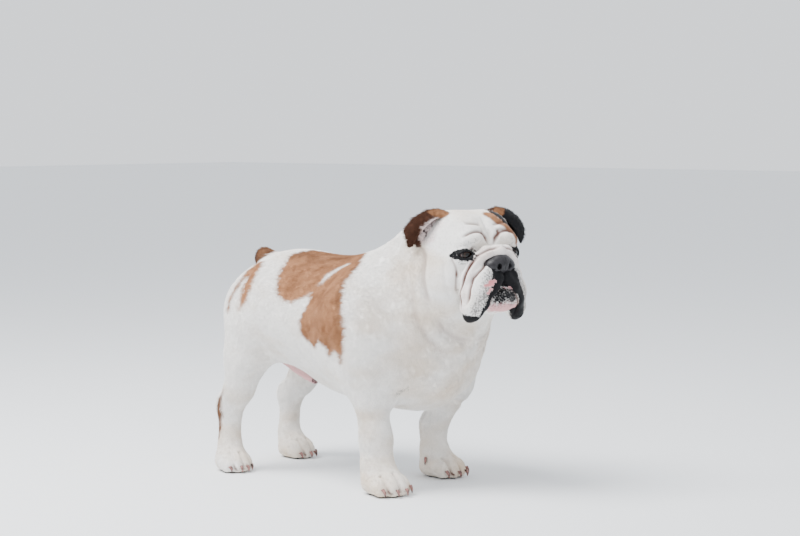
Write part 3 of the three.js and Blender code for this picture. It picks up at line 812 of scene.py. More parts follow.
chinStrokes = {
    "skin": ([(86, -20, -84), (88, 0, -82), (84, 20, -84)], 11),
    "edge": ([(92, -14, -64), (94, 0, -58), (93, 14, -64)], [8, 9, 8]),
    "chin": ([(80, -14, -70), (84, 0, -66), (80, 14, -70)], 17),
}
pinkSpots = [
    ([(89, -36, -47), (92, -28, -43), (93, -21, -39)], [2.5, 4.5, 3]),
    ([(91, -33, -57), (92, -29, -52)], [2.5, 2]),
    ([(88, 1, -50), (90, 6, -50), (91, 11, -52)], [1.6, 2.2, 1.6]),
]


def faceMarks(h):
    # Black skin and speckles of the nose and lips, the eye rims, and the bare pink places.
    waves = {"fine": ripple(h, 3.2, 11), "speckle": ripple(h, 2.6, 12) + 0.7 * ripple(h, 6.5, 13)}
    speckle = waves["speckle"]
    marks = {name: np.zeros(len(h)) for name in ("black", "pink", "dots")}
    for side in sides.values():
        rim, fromMiddle = eyeOpening(h, side)
        lids = ramp(-(rim + 0.4 * waves["fine"]), -3.8, -2.4) * (fromMiddle < 30)
        marks["black"] = np.maximum(marks["black"], lids)
        lips = ("black", 1, -8, 1.5, 1.2, "speckle", (lipLine, lipWidths[side]))
        for name, share, start, full, rough, wave, stroke in [*lidStrokes, lips, *mouthStrokes]:
            away = strokeAway(h, stroke, side) + rough * waves[wave]
            marks[name] = np.maximum(marks[name], share * ramp(-away, start, full))
    skin, edge, chin = [strokeAway(h, stroke) for stroke in chinStrokes.values()]
    marks["pink"] = np.maximum(marks["pink"], 0.8 * ramp(-(skin + 4 * speckle), -3, 3))
    marks["black"] = np.where(chin < 0, 0.75 * ramp(-(edge + 2.2 * speckle), -9, 3), marks["black"])
    marks["dots"] = np.where(chin < 0, 0.8 * (1 - ramp(edge, 0, 16)), marks["dots"])
    for stroke in pinkSpots:
        spot = ramp(-(strokeAway(h, stroke) + 1.6 * waves["fine"]), -1.0, 1.0)
        marks["pink"] = np.maximum(marks["pink"], spot)
        marks["black"] *= 1 - spot
        marks["dots"] *= 1 - spot
    return marks


# The ears: an orange root in front, a pale cup with dark ridges on the near side, and the dark flap.
# The far one has a tan band and a dark strip running down from it.
earLayout = {
    "root": ([(6, 68, 62), (14, 54, 61), (28, 44, 57)], [5, 8, 9]),
    "cup": [
        (86, 41), (80, 48), (72, 53), (62, 56), (57, 49), (64, 40), (69, 32), (73, 20), (79, 16), (82, 26),
    ],
    "cupSide": -1,
    "ridges": [
        ([(6, 78, 49), (4, 83, 44), (-9, 74, 36), (-5, 72, 33)], 1.5),
        ([(9, 69, 55), (-5, 64, 48), (0, 65, 42), (7, 66, 40)], 1.5),
        ([(-4, 73, 30), (-5, 76, 24)], 1.8),
    ],
    "farBand": ([(34, 16, 59), (45, 22, 52), (52, 30, 46), (57, 39, 38), (60, 47, 26), (56, 54, 12),
                 (52, 60, -4)], [8, 8, 8, 8, 8, 7, 4]),
    "farDark": ([(20, 34, 62), (32, 32, 59), (40, 40, 52), (46, 50, 40), (48, 60, 26)], [9, 9, 9, 9, 7]),
}


def earMarks(p, h, normals):
    # How much of each point is on an ear, in its cup, on its orange root, and on a dark ridge.
    onEar, cup, root, ridge = np.zeros((4, len(p)))
    near = np.linalg.norm(h, axis=1) < 130
    q = h[near]
    for name, side in sides.items():
        onEar[near] = np.maximum(onEar[near], 1 - ramp(earGrids[name](p[near]), 1.6, 4.0))
        if side == earLayout["cupSide"]:
            away = outlineAway(np.stack([q[:, 1] * side, q[:, 2]], axis=1), earLayout["cup"])
            facingFront = normals[near] @ (headTurn @ np.array([1.0, 0, 0]))
            cup[near] = ramp(-away, -1.5, 1.5) * ramp(q[:, 0], -20, -12) * ramp(facingFront, 0.0, 0.4)
        strokes = [(root, 2.5, earLayout["root"])] + [(ridge, 1.0, stroke) for stroke in earLayout["ridges"]]
        for total, soft, stroke in strokes:
            total[near] = np.maximum(total[near], ramp(-strokeAway(q, stroke, side), -soft, soft))
    return onEar, cup, root, ridge


def creasesOf(p, h, face):
    # Painted shade in the folds of the trunk and face and in the gaps between the toes, darker where they are
    # deeper, and where the hair parts over them.
    # Painted shade in the narrower folds of the trunk.
    creaseShade = np.clip(reliefOf(p, [fold for fold in bodyFolds if fold[3] < 7], 4) / 9, 0, 1) * 0.6
    parting = np.zeros(len(p))
    narrow = [fold for fold in faceFolds if fold[3] < 2.9]
    # Painted shade in the narrow creases of the face, darker where they are deeper.
    creaseShade[face] = np.maximum(creaseShade[face], np.clip(reliefOf(h[face], narrow) / 5.5, 0, 1.1))
    wider = [(*fold[:3], 1.7 * fold[3]) for fold in narrow]
    parting[face] = np.clip(reliefOf(h[face], wider) / 3, 0, 1)
    feet = p[:, 2] < 45
    toes = reliefOf(p[feet], toeFurrows, 30)
    # Painted shade between the toes, fading out higher up the paw.
    shade = np.clip(toes / 4.5, 0, 1.2) * (1 - 0.8 * ramp(p[feet, 2], 7, 20))
    creaseShade[feet] = np.maximum(creaseShade[feet], shade)
    parting[feet] = np.clip(toes / 3, 0, 1)
    return creaseShade, parting


def markingsOf(p, normals):
    t = p - trunkOrigin
    h = toHead(p)
    names = ("tan", "brown", "black", "pink", "cream", "creaseShade", "dots", "parting")
    marks = {name: np.zeros(len(p)) for name in names}
    rough = ripple(p, ragged["size"], 5) * 0.7 + ripple(p, 14, 6)

    def stroked(stroke, share, place=t):
        return markAt(strokeAway(place, stroke), share * rough)

    def put(name, values):
        marks[name] = np.maximum(marks[name], values)

    angle = np.degrees(np.arctan2(-t[:, 1], t[:, 2] - trunkAxis))
    angle = np.where(angle < -120, angle + 360, angle)
    flat = np.stack([t[:, 0], angle * acrossDegree], axis=1)
    saddle, slit = [outlineAway(flat, [(x, a * acrossDegree) for x, a in patches[name]]) for name in patches]
    deep = ragged["depth"]
    tan = markAt(saddle, deep * rough) * (1 - markAt(slit, 0.5 * deep * rough))
    tan *= (t[:, 2] > 150) & (h[:, 0] < -40)
    frontEdge = np.exp(-(((saddle + 9) / 7) ** 2)) * ramp(t[:, 0], 50, 80) * ramp(angle, 96, 80)
    streaks = 0.55 * ramp(ripple(p * [1, 1, 0.35], 9, 31), -0.1, 0.8)
    burnt = tan * np.clip(0.7 * frontEdge + 0.6 * ramp(np.abs(angle), 34, 12) + streaks * 0.5, 0, 0.8)
    put("tan", tan)
    for name in ("rump", "rumpBehind", "rumpLeft"):
        put("tan", stroked(trunkStrokes[name], deep * 0.6))
    tail = stroked(trunkStrokes["tail"], deep)
    hock = stroked(trunkStrokes["hock"], deep * 0.5)
    put("tan", np.maximum(tail, hock))
    put("brown", np.maximum(tail * ramp(t[:, 2] + 0.3 * t[:, 0], 255, 275), 0.55 * burnt))
    put("brown", 0.75 * hock)
    face = awayFrom(h, faceCentre) < 120
    for name, values in faceMarks(h[face]).items():
        marks[name][face] = values
    ears, cup, root, ridge = earMarks(p, h, normals)
    dark = ears * (1 - cup) * (1 - 0.85 * root)
    band = stroked(earLayout["farBand"], 0.4, h)
    behind = stroked(earLayout["farDark"], 0.5, h)
    put("tan", np.maximum(ears * (1 - cup), np.maximum(band, behind)))
    put("brown", np.maximum(np.maximum(1.4 * dark, 0.35 * ears * root), 0.3 * band))
    put("pink", 0.34 * cup)
    put("black", 0.45 * ridge * cup + 0.22 * cup)
    # Painted shade of the short crease at the breastbone.
    put("black", 0.45 * ramp(-strokeAway(t, trunkStrokes["sternumShade"]), -3, 1))
    put("black", 0.85 * np.maximum(behind * (1 - band), dark * (h[:, 1] > 0) * ramp(h[:, 1], 50, 62)))
    put("pink", 0.75 * stroked((sheathLine, np.array(sheathRadii) + 3.0), 0.8, p))
    put("black", 0.6 * markAt(awayFrom(p, sheathLine[-1]) - 6, rough))
    put("black", 0.8 * ramp(-normals[:, 2], 0.7, 0.95) * (p[:, 2] < 2))
    # Painted shade in the folds and between the toes, and the partings of the hair over them.
    marks["creaseShade"], marks["parting"] = creasesOf(p, h, face)
    low = 1 - ramp(t[:, 2], 20, 120)
    throat = np.exp(-(((t - [180, -20, 215]) / [60, 90, 90]) ** 2).sum(1))
    nape = np.exp(-(((t - [185, -70, 330]) / [45, 60, 80]) ** 2).sum(1))
    cream = 0.6 * low + 0.75 * throat + 0.5 * nape + 0.3 * ripple(p, 70, 8) + 0.15 * ripple(p, 22, 9)
    put("cream", np.minimum(cream, 1))
    return marks


headMiddle = (20, 0, -15)
lieSetup = {
    "trunk": (-1.0, 0.0, -0.45), "legs": (-0.12, 0.0, -1.0), "chest": (-0.1, 0.0, -1.0),
    "noseTip": (96, 0, -6),
}


def lieOf(p, normals):
    # The way the hair lies: back from the nose over the head, back and down over the trunk and legs.
    t = p - trunkOrigin
    h = toHead(p)
    fromNose = unit((h - np.array(lieSetup["noseTip"])) @ headTurn.T)
    way = np.tile(lieSetup["trunk"], (len(p), 1))
    for share, other in (
        (1 - ramp(t[:, 2], 110, 200), np.array(lieSetup["legs"])),
        (ramp(t[:, 0], 110, 190) * (1 - ramp(t[:, 2], 240, 330)), np.array(lieSetup["chest"])),
        (1 - ramp(awayFrom(h, headMiddle), 70, 140), fromNose),
    ):
        way = way * (1 - share[:, None]) + other * share[:, None]
    way = unit(way)
    return unit(way - normals * (way * normals).sum(1)[:, None])


hairSetup = {
    "trunk": 9.0, "headLess": 6.0, "feetLess": 4.5, "least": 2.8, "aboveFloor": 7,
    "headFade": (80, 130), "feetFade": (30, 110),
}


def hairSizes(p, marks):
    # Hair is longest on the trunk and shortest on the face, the ears and the feet, and bare skin has none.
    h = toHead(p)
    head = 1 - ramp(awayFrom(h, faceCentre), *hairSetup["headFade"])
    feet = 1 - ramp(p[:, 2], *hairSetup["feetFade"])
    length = hairSetup["trunk"] - hairSetup["headLess"] * head - hairSetup["feetLess"] * feet
    length = np.maximum(length, hairSetup["least"])
    bare = marks["black"] * head * 2 + 3 * np.maximum(marks["pink"] - 0.14, 0) + 0.8 * marks["dots"]
    bare = np.clip(bare + marks["parting"], 0, 1)
    for side in sides.values():
        rim, fromMiddle = eyeOpening(h, side)
        bare = np.maximum(bare, (rim < 2.0) * (fromMiddle < 26))
    return length, np.where(p[:, 2] < hairSetup["aboveFloor"], 1, bare)


def addNumbers(mesh, name, values, domain="POINT"):
    kind, what = ("FLOAT_VECTOR", "vector") if values.ndim == 2 else ("FLOAT", "value")
    layer = mesh.attributes.new(name, kind, domain)
    layer.data.foreach_set(what, values.astype(np.float32).ravel())


def paintSkin():
    mesh = skin.data
    points = numbersOf(mesh.vertices, "co") / mm
    normals = numbersOf(mesh.vertices, "normal")
    marks = markingsOf(points, normals)
    length, bare = hairSizes(points, marks)
    marks.update(lie=lieOf(points, normals), hairLength=length * mm, bare=bare, shade=np.ones(len(points)))
    for name, values in marks.items():
        addNumbers(mesh, name, values)
    print("markings painted")


paintSkin()


# Materials.
def addNode(tree, kind, inputs=None, **settings):
    node = tree.nodes.new(kind)
    for key, value in settings.items():
        setattr(node, key, value)
    for key, value in (inputs or {}).items():
        connect(tree, node.inputs[key], value)
    return node


def connect(tree, socket, value):
    if isinstance(value, bpy.types.NodeSocket):
        tree.links.new(value, socket)
    else:
        socket.default_value = value


class Nodes:
    # Makes and links shader nodes in few words.
    def __init__(self, name):
        self.material = bpy.data.materials.new(name)
        self.material.use_nodes = True
        self.tree = self.material.node_tree
        self.shader = self.tree.nodes["Principled BSDF"]

    def add(self, kind, inputs=None, **settings):
        return addNode(self.tree, kind, inputs, **settings)

    def number(self, name):
        return self.add("ShaderNodeAttribute", attribute_name=name).outputs["Fac"]

    def mix(self, share, a, b, blend="MIX"):
        settings = {"data_type": "RGBA", "blend_type": blend}
        return self.add("ShaderNodeMix", {0: share, 6: a, 7: b}, **settings).outputs[2]

    def math(self, operation, a, b=0.0):
        return self.add("ShaderNodeMath", {0: a, 1: b}, operation=operation).outputs[0]

    def range(self, value, *limits):
        return self.add("ShaderNodeMapRange", dict(enumerate((value, *limits)))).outputs[0]

    def place(self):
        return self.add("ShaderNodeTexCoord").outputs["Object"]

    def noise(self, scale, detail=3.0):
        inputs = {"Vector": self.place(), "Scale": scale, "Detail": detail}
        return self.add("ShaderNodeTexNoise", inputs).outputs["Fac"]

    def bump(self, height, strength, distance):
        inputs = {"Height": height, "Strength": strength, "Distance": distance}
        self.fix({"Normal": self.add("ShaderNodeBump", inputs).outputs["Normal"]})

    def fix(self, values):
        for key, value in values.items():
            connect(self.tree, self.shader.inputs[key], value)


coatColours = {
    "white": (0.86, 0.835, 0.80, 1),
    "cream": (0.72, 0.60, 0.47, 1),
    "tan": (0.37, 0.175, 0.085, 1),
    "tanDark": (0.20, 0.082, 0.036, 1),
    "brown": (0.045, 0.017, 0.009, 1),
    "black": (0.005, 0.005, 0.006, 1),
    "grey": (0.30, 0.28, 0.29, 1),
    "pink": (0.60, 0.22, 0.23, 1),
    # the painted shade of creases and toe gaps
    "creaseShade": (0.17, 0.095, 0.078, 1),
}


def makeCoatMaterial():
    made = Nodes("shortCoat")
    number, mix, maths, span = made.number, made.mix, made.math, made.range
    colours = coatColours
    broad, fine, stipple = made.noise(38, 4), made.noise(700, 2), made.noise(430, 4)
    white = mix(number("cream"), colours["white"], colours["cream"])
    tan = mix(span(broad, 0.42, 0.68, 0.0, 0.75), colours["tan"], colours["tanDark"])
    tan = mix(maths("MULTIPLY", number("brown"), span(broad, 0.3, 0.6, 0.65, 1.0)), tan, colours["brown"])
    colour = mix(number("tan"), white, tan)
    colour = mix(number("pink"), colour, colours["pink"])
    # Painted shade darkens the creases and the gaps between the toes.
    colour = mix(span(number("creaseShade"), 0.12, 1.1, 0.0, 1.0), colour, colours["creaseShade"])
    dots, black = number("dots"), number("black")
    spots = span(maths("ADD", stipple, maths("MULTIPLY", dots, 0.26)), 0.58, 0.80, 0.0, 0.72)
    spots = maths("MULTIPLY", spots, span(dots, 0.0, 0.2, 0.0, 1.0))
    edge = span(maths("ADD", black, span(stipple, 0.25, 0.75, -0.34, 0.34)), 0.18, 0.70, 0.0, 1.0)
    edge = maths("MULTIPLY", edge, span(black, 0.0, 0.15, 0.0, 1.0))
    colour = mix(maths("MULTIPLY", dots, 0.3), colour, colours["grey"])
    colour = mix(maths("MAXIMUM", edge, spots), colour, colours["black"])
    strands = maths("MULTIPLY", number("shade"), span(fine, 0.3, 0.7, 0.95, 1.03))
    grey = made.add("ShaderNodeCombineColor", dict.fromkeys(range(3), strands)).outputs[0]
    bare = maths("MAXIMUM", number("pink"), black)
    made.fix({
        "Base Color": mix(1.0, colour, grey, "MULTIPLY"), "Roughness": span(bare, 0.0, 1.0, 0.78, 0.52),
        "Sheen Weight": 0.04, "Sheen Roughness": 0.5, "Specular IOR Level": 0.1,
    })
    made.bump(maths("ADD", made.noise(900, 2), made.noise(240, 2)), 0.35, 0.0006)
    return made.material


coatMaterial = makeCoatMaterial()


# The coat: short tufts of three flat, closed spikes, laid along the hair's own direction. A spike has its
# turn in degrees, its root's place to the side, and its length.
tuftSetup = {
    "spikes": ((-14, -0.11, 0.85), (2, 0.0, 1.0), (13, 0.10, 0.78)),
    "halfWidth": 0.055,
    "ridge": 0.022,
    "rise": 0.06,
    "sunk": 0.05,
    "widestAt": 0.3,
    "twist": 9,
    "liftLeast": 0.5,
    "liftMost": 8,
    "sizes": (0.75, 1.2),
    "shades": (0.88, 1.04),
    "seed": 7,
    "uvPatch": 0.003,
}
coatRegions = {  # tufts for each square metre
    "face": 170000, "skull": 150000, "chest": 105000, "shoulders": 105000, "ribs": 105000, "loin": 105000,
    "rump": 105000, "forelegs": 120000, "hindlegs": 120000,
}

regionLimits = {  # how far forward, how high, or how far from the head's middle each region goes
    "shoulders": 62, "chest": 130, "loin": -24, "rump": -104, "elbow": 50, "knee": -90,
    "forelegs": 140, "hindlegs": 170, "head": 112, "face": 30,
}


def makeTuft():
    setup = tuftSetup
    points, faces = [], []
    for turn, beside, length in setup["spikes"]:
        flat = math.radians(turn)
        ahead = np.array([math.cos(flat), math.sin(flat), 0])
        aside = np.array([-math.sin(flat), math.cos(flat), 0]) * setup["halfWidth"]
        start = np.array([0, beside, 0])
        middle = start + ahead * setup["widestAt"] * length
        tip = start + ahead * length + [0, 0, setup["rise"]]
        k = len(points)
        points += [start - [0, 0, setup["sunk"]], middle - aside, middle + aside]
        points += [middle + [0, 0, setup["ridge"]], tip]
        ring = ((0, 1, 3), (0, 3, 2), (1, 4, 3), (3, 4, 2), (0, 2, 1), (1, 2, 4))
        faces += [tuple(k + n for n in face) for face in ring]
    mesh = bpy.data.meshes.new("tuftShape")
    mesh.from_pydata([tuple(q) for q in points], [], faces)
    return placed("tuftShape", mesh)


def makeTuftTree():
    tree = bpy.data.node_groups.new("coatTufts", "GeometryNodeTree")
    kinds = {
        "Geometry": "Geometry", "Tuft": "Object", "Region": "Int", "Tufts per square metre": "Float",
        "Twist": "Float", "Least lift": "Float", "Most lift": "Float", "Seed": "Int", "Material": "Material",
    }
    for name, kind in kinds.items():
        tree.interface.new_socket(name=name, in_out="INPUT", socket_type="NodeSocket" + kind)
    tree.interface.new_socket(name="Geometry", in_out="OUTPUT", socket_type="NodeSocketGeometry")

    def add(kind, inputs=None, **settings):
        return addNode(tree, kind, inputs, **settings)

    def maths(operation, a, b, c=0.0, **settings):
        return add("ShaderNodeMath", {0: a, 1: b, 2: c}, operation=operation, **settings).outputs[0]

    def number(name, kind="FLOAT"):
        return add("GeometryNodeInputNamedAttribute", {"Name": name}, data_type=kind).outputs["Attribute"]

    def store(geometry, name, value, kind):
        inputs = {"Geometry": geometry, "Name": name, "Value": value}
        return add("GeometryNodeStoreNamedAttribute", inputs, data_type=kind).outputs[0]

    def chance(low, high, shift):
        seed = maths("ADD", given["Seed"], shift)
        return add("FunctionNodeRandomValue", {2: low, 3: high, "Seed": seed}, data_type="FLOAT").outputs[1]

    given = add("NodeGroupInput").outputs
    inRegion = maths("COMPARE", number("region"), given["Region"], 0.1)
    whole = {"Geometry": given["Geometry"], "Selection": inRegion}
    part = add("GeometryNodeSeparateGeometry", whole, domain="FACE").outputs["Selection"]
    haired = maths("SUBTRACT", 1.0, number("bare"), use_clamp=True)
    density = maths("MULTIPLY", haired, given["Tufts per square metre"])
    inputs = {"Mesh": part, "Density": density, "Seed": given["Seed"]}
    roots = add("GeometryNodeDistributePointsOnFaces", inputs).outputs
    kept = store(roots["Points"], "root", add("GeometryNodeInputPosition").outputs[0], "FLOAT_VECTOR")
    toned = store(kept, "shade", chance(*tuftSetup["shades"], 1), "FLOAT")
    axes = {"Primary Axis": roots["Normal"], "Secondary Axis": number("lie", "FLOAT_VECTOR")}
    laid = add("FunctionNodeAxesToRotation", axes, primary_axis="Z", secondary_axis="X").outputs[0]
    lift = chance(given["Most lift"], given["Least lift"], 2)
    twist = chance(maths("MULTIPLY", given["Twist"], -1.0), given["Twist"], 3)
    swing = add("ShaderNodeCombineXYZ", {"Y": lift, "Z": twist}).outputs[0]
    swung = add("FunctionNodeEulerToRotation", {"Euler": swing}).outputs[0]
    both = {"Rotation": laid, "Rotate By": swung}
    turned = add("FunctionNodeRotateRotation", both, rotation_space="LOCAL").outputs[0]
    size = maths("MULTIPLY", number("hairLength"), chance(*tuftSetup["sizes"], 4))
    shape = add("GeometryNodeObjectInfo", {"Object": given["Tuft"]}).outputs["Geometry"]
    inputs = {"Points": toned, "Instance": shape, "Rotation": turned, "Scale": size}
    tufts = add("GeometryNodeInstanceOnPoints", inputs).outputs[0]
    real = add("GeometryNodeRealizeInstances", {"Geometry": tufts}).outputs[0]
    inputs = {"Geometry": real, "Material": given["Material"]}
    add("NodeGroupOutput", {"Geometry": add("GeometryNodeSetMaterial", inputs).outputs[0]})
    return tree


def regionsOf(p):
    # Which part of the coat each place belongs to. Later rows overrule earlier ones.
    t = p - trunkOrigin
    h = toHead(p)
    limits = regionLimits
    head = awayFrom(h, headMiddle) < limits["head"]
    chosen = {
        "shoulders": t[:, 0] > limits["shoulders"],
        "chest": t[:, 0] > limits["chest"],
        "loin": t[:, 0] <= limits["loin"],
        "rump": t[:, 0] <= limits["rump"],
        "forelegs": (t[:, 2] < limits["forelegs"]) & (t[:, 0] > limits["elbow"]),
        "hindlegs": (t[:, 2] < limits["hindlegs"]) & (t[:, 0] < limits["knee"]),
        "skull": head,
        "face": head & (h[:, 0] > limits["face"]),
    }
    names = list(coatRegions)
    region = np.full(len(p), names.index("ribs"), float)
    for name, where in chosen.items():
        region[where] = names.index(name)
    return region


def turnShare(across, ahead):
    return np.arctan2(across, ahead) / (2 * math.pi) + 0.5


def unwrapOf(p):
    # An unwrap of the skin's own shape: the trunk rolled out round its length, the head round its middle,
    # and each leg round its height.
    t = p - trunkOrigin
    q = toHead(p) - np.array(headMiddle)
    away = np.linalg.norm(q, axis=1)
    head = away < 125
    u = 0.01 + 0.60 * np.clip((t[:, 0] + 270) / 540, 0, 1)
    v = 0.34 + 0.65 * turnShare(t[:, 1], trunkAxis - t[:, 2])
    u = np.where(head, 0.63 + 0.36 * turnShare(q[:, 1], q[:, 0]), u)
    v = np.where(head, 0.34 + 0.65 * (np.arcsin(np.clip(q[:, 2] / away, -1, 1)) / math.pi + 0.5), v)
    for k, (kind, name) in enumerate([(kind, name) for kind in ("fore", "hind") for name in sides]):
        middle = middleOf(f"{kind}paw_{name.lower()}") - [8, 0, 0]
        on = (t[:, 2] < 150) & ((t[:, 0] > 0) == (kind == "fore")) & (t[:, 1] * sides[name] > 0) & ~head
        about = turnShare(p[:, 1] - middle[1], p[:, 0] - middle[0])
        u = np.where(on, 0.01 + 0.25 * k + 0.23 * about, u)
        v = np.where(on, 0.01 + 0.31 * np.clip(t[:, 2] / 150, 0, 1), v)
    return np.stack([u, v], axis=1)


def makeCoat():
    setup = tuftSetup
    addNumbers(skin.data, "region", regionsOf(numbersOf(skin.data.polygons, "center") / mm), "FACE")
    tuft = makeTuft()
    tree = makeTuftTree()
    sockets = {item.name: item.identifier for item in tree.interface.items_tree if item.in_out == "INPUT"}
    perSpike = [(0, 0.5), (0.4, 0), (0.4, 1), (0.5, 0.5), (1, 0.5)]
    spikes = len(setup["spikes"])
    corners = np.array([(across, (k + up) / spikes) for k in range(spikes) for across, up in perSpike])
    corners = (corners - 0.5) * setup["uvPatch"]
    pieces = []
    for k, (name, density) in enumerate(coatRegions.items()):
        maker = placed("maker", skin.data)
        modifier = maker.modifiers.new("tufts", "NODES")
        modifier.node_group = tree
        values = {
            "Tuft": tuft, "Region": k, "Tufts per square metre": float(density), "Material": coatMaterial,
            "Twist": math.radians(setup["twist"]), "Seed": setup["seed"] + 10 * k,
            "Least lift": -math.radians(setup["liftLeast"]), "Most lift": -math.radians(setup["liftMost"]),
        }
        for label, value in values.items():
            modifier[sockets[label]] = value
        made = bpy.data.meshes.new_from_object(maker.evaluated_get(bpy.context.evaluated_depsgraph_get()))
        bpy.data.objects.remove(maker)
        count = len(made.vertices) // len(corners)
        flat = unwrapOf(numbersOf(made.attributes["root"].data, "vector") / mm) + np.tile(corners, (count, 1))
        flat = flat[numbersOf(made.loops, "vertex_index", 1, np.int32)[:, 0]]
        for spare in ("root", "lie", "hairLength", "bare", "region"):
            if spare in made.attributes:
                made.attributes.remove(made.attributes[spare])
        made.uv_layers.new(name="OFBake").uv.foreach_set("vector", flat.astype(np.float32).ravel())
        pieces.append(placed(name + "Coat", made))
        print(name, "coat has", count, "tufts and", len(made.polygons), "triangles")
    bpy.data.objects.remove(tuft)
    return pieces


# Eyes. Each is a ball whose cornea stands out a little in the middle of the iris.
eyeballSetup = {
    "look": 15, "down": 3, "rings": 40, "around": 48, "iris": 30, "corneaRise": 0.9, "inside": 0.15,
    "roughness": 0.12, "wetness": 0.35,
}
irisColours = [  # how far from the pupil, as a share of the way to the white's end, and the colour there
    (0.0, (0.002, 0.002, 0.002, 1)), (0.27, (0.002, 0.002, 0.002, 1)), (0.33, (0.014, 0.006, 0.003, 1)),
    (0.5, (0.022, 0.010, 0.005, 1)), (0.76, (0.008, 0.004, 0.003, 1)), (0.84, (0.03, 0.024, 0.022, 1)),
    (0.92, (0.14, 0.12, 0.115, 1)), (1.0, (0.12, 0.08, 0.075, 1)),
]


def makeEyeMaterial():
    made = Nodes("eyeball")
    streaks = made.range(made.noise(900, 3), 0, 1, -0.02, 0.02)
    colours = made.add("ShaderNodeValToRGB", {"Fac": made.math("ADD", made.number("fromPupil"), streaks)})
    elements = colours.color_ramp.elements
    for position, colour in irisColours[1:-1]:
        elements.new(position)
    for element, (position, colour) in zip(elements, irisColours):
        element.position = position
        element.color = colour
    made.fix({
        "Base Color": colours.outputs["Color"], "Roughness": eyeballSetup["roughness"], "IOR": 1.38,
        "Coat Weight": eyeballSetup["wetness"], "Coat Roughness": 0.02, "Specular IOR Level": 0.25,
    })
    return made.material


eyeMaterial = makeEyeMaterial()


def makeEye(name, side):
    setup = eyeballSetup
    rings, around, iris = setup["rings"], setup["around"], setup["iris"]
    middle = np.array([headLayout["eyeForward"], side * headLayout["eyeOut"], 0.0])
    turn = turnAbout("Z", side * setup["look"]) @ turnAbout("Y", setup["down"])
    points, away = [], []
    for i in range(rings + 1):
        angle = math.pi * i / rings
        degrees = math.degrees(angle)
        rise = setup["corneaRise"] * math.cos(degrees / iris * math.pi / 3) ** 2 * (degrees < iris * 1.5)
        radius = headLayout["eyeRadius"] - setup["inside"] + rise
        for j in range(around if 0 < i < rings else 1):
            about = 2 * math.pi * j / around
            flat = math.sin(angle)
            ball = np.array([math.cos(angle), flat * math.cos(about), flat * math.sin(about)])
            points.append(turn @ (ball * radius) + middle)
            away.append(min(degrees / (iris * 1.55), 1.0))

    def at(i, j):
        return 0 if i == 0 else 1 + (i - 1) * around + (0 if i == rings else j % around)

    corners = [
        [at(i, j), at(i + 1, j), at(i + 1, j + 1), at(i, j + 1)] for i in range(rings) for j in range(around)
    ]
    eye = meshObject("eyeball" + name, fromHead(points), [list(dict.fromkeys(face)) for face in corners])
    addNumbers(eye.data, "fromPupil", np.array(away))
    eye.data.materials.append(eyeMaterial)
    return eye


# Nose leather, drawn as a finer net of its own.
noseLayout = {
    "balls": [
        ((80, 0, -14), (14.5, 18.5, 15)),
        ((78, 14, -18), (13.5, 12.5, 12)),
        ((78, -14, -18), (13.5, 12.5, 12)),
    ],
    "foot": ((81, 0, -22), (80, 0, -28), 8, 6),
    "nostril": (92, 10.5, -19), "nostrilSize": (9, 3.6, 4.6), "nostrilTurn": (-12, 22),
    "slit": [(93, 9, -13), (94, 10.5, -20), (92, 14, -24), (88, 20, -25), (83, 26, -22)],
    "slitRadii": [1.4, 2.4, 2.2, 1.7, 1.2],
    "seam": [(94, 0, -6), (95, 0, -14), (95, 0, -22), (92, 0, -30)],
    "box": ((60, -32, -44), (100, 32, 8)), "cell": 0.9,
}


def noseForm(p):
    layout = noseLayout
    d = join(blend(5, *[egg(*ball) for ball in layout["balls"]])(p), limb(*layout["foot"])(p), 5)
    roll, turn = layout["nostrilTurn"]
    for side in sides.values():
        nostril = mirrored([layout["nostril"]], side)[0]
        hole = egg(nostril, layout["nostrilSize"], (side * roll, 0, side * turn))(p)
        slit = rope(mirrored(layout["slit"], side), layout["slitRadii"], 1)(p)
        d = cutAway(d, join(hole, slit, 2), 1.6)
    seam = np.array(layout["seam"], float)
    d += pressed(p, seam, np.tile([-1.0, 0, 0], (len(seam), 1)), 1.6, 1.0, 6)
    return d + 0.12 * ripple(p, 2.4, 21)


def makeNose():
    points, quads = largestShell(*drawNet(noseForm, *noseLayout["box"], noseLayout["cell"]))
    faces = quads.tolist()
    points = settle(relax(points, fans(faces), edgesOf(faces), 2), noseForm, 3, 1.0)
    return meshObject("noseLeather", fromHead(points), quads)


def makeHardMaterial(name, tones, grain, limits, rough, roughLimits, roughness):
    # A material of two tones, mixed by one noise, with a roughness that follows another.
    made = Nodes(name)
    tone = made.mix(made.range(made.noise(grain, 3), *limits, 0, 1), *tones)
    made.fix({"Base Color": tone, "Roughness": made.range(made.noise(rough, 3), *roughLimits, *roughness)})
    return made


def makeNoseMaterial():
    tones = (0.009, 0.008, 0.010, 1), (0.026, 0.024, 0.027, 1)
    made = makeHardMaterial("noseSkin", tones, 160, (0.35, 0.7), 90, (0.35, 0.7), (0.30, 0.48))
    cells = made.add("ShaderNodeTexVoronoi", {"Vector": made.place(), "Scale": 900.0}).outputs["Distance"]
    made.bump(cells, 0.35, 0.0004)
    made.fix({"Specular IOR Level": 0.32})
    return made.material


def makeHornMaterial():
    tones = (0.36, 0.17, 0.145, 1), (0.035, 0.024, 0.022, 1)
    made = makeHardMaterial("clawHorn", tones, 260, (0.35, 0.65), 260, (0.3, 0.7), (0.32, 0.5))
    made.bump(made.noise(1200, 2), 0.15, 0.0002)
    return made.material


# Claws: bent, tapering horns laid along those of the solids.
clawSetup = {
    "rings": 9, "around": 12, "length": 0.84, "radius": 2.7, "tipRadius": 0.3, "sunk": 4, "bend": 1.6,
    "narrow": 0.8, "aboveFloor": 0.3,
}


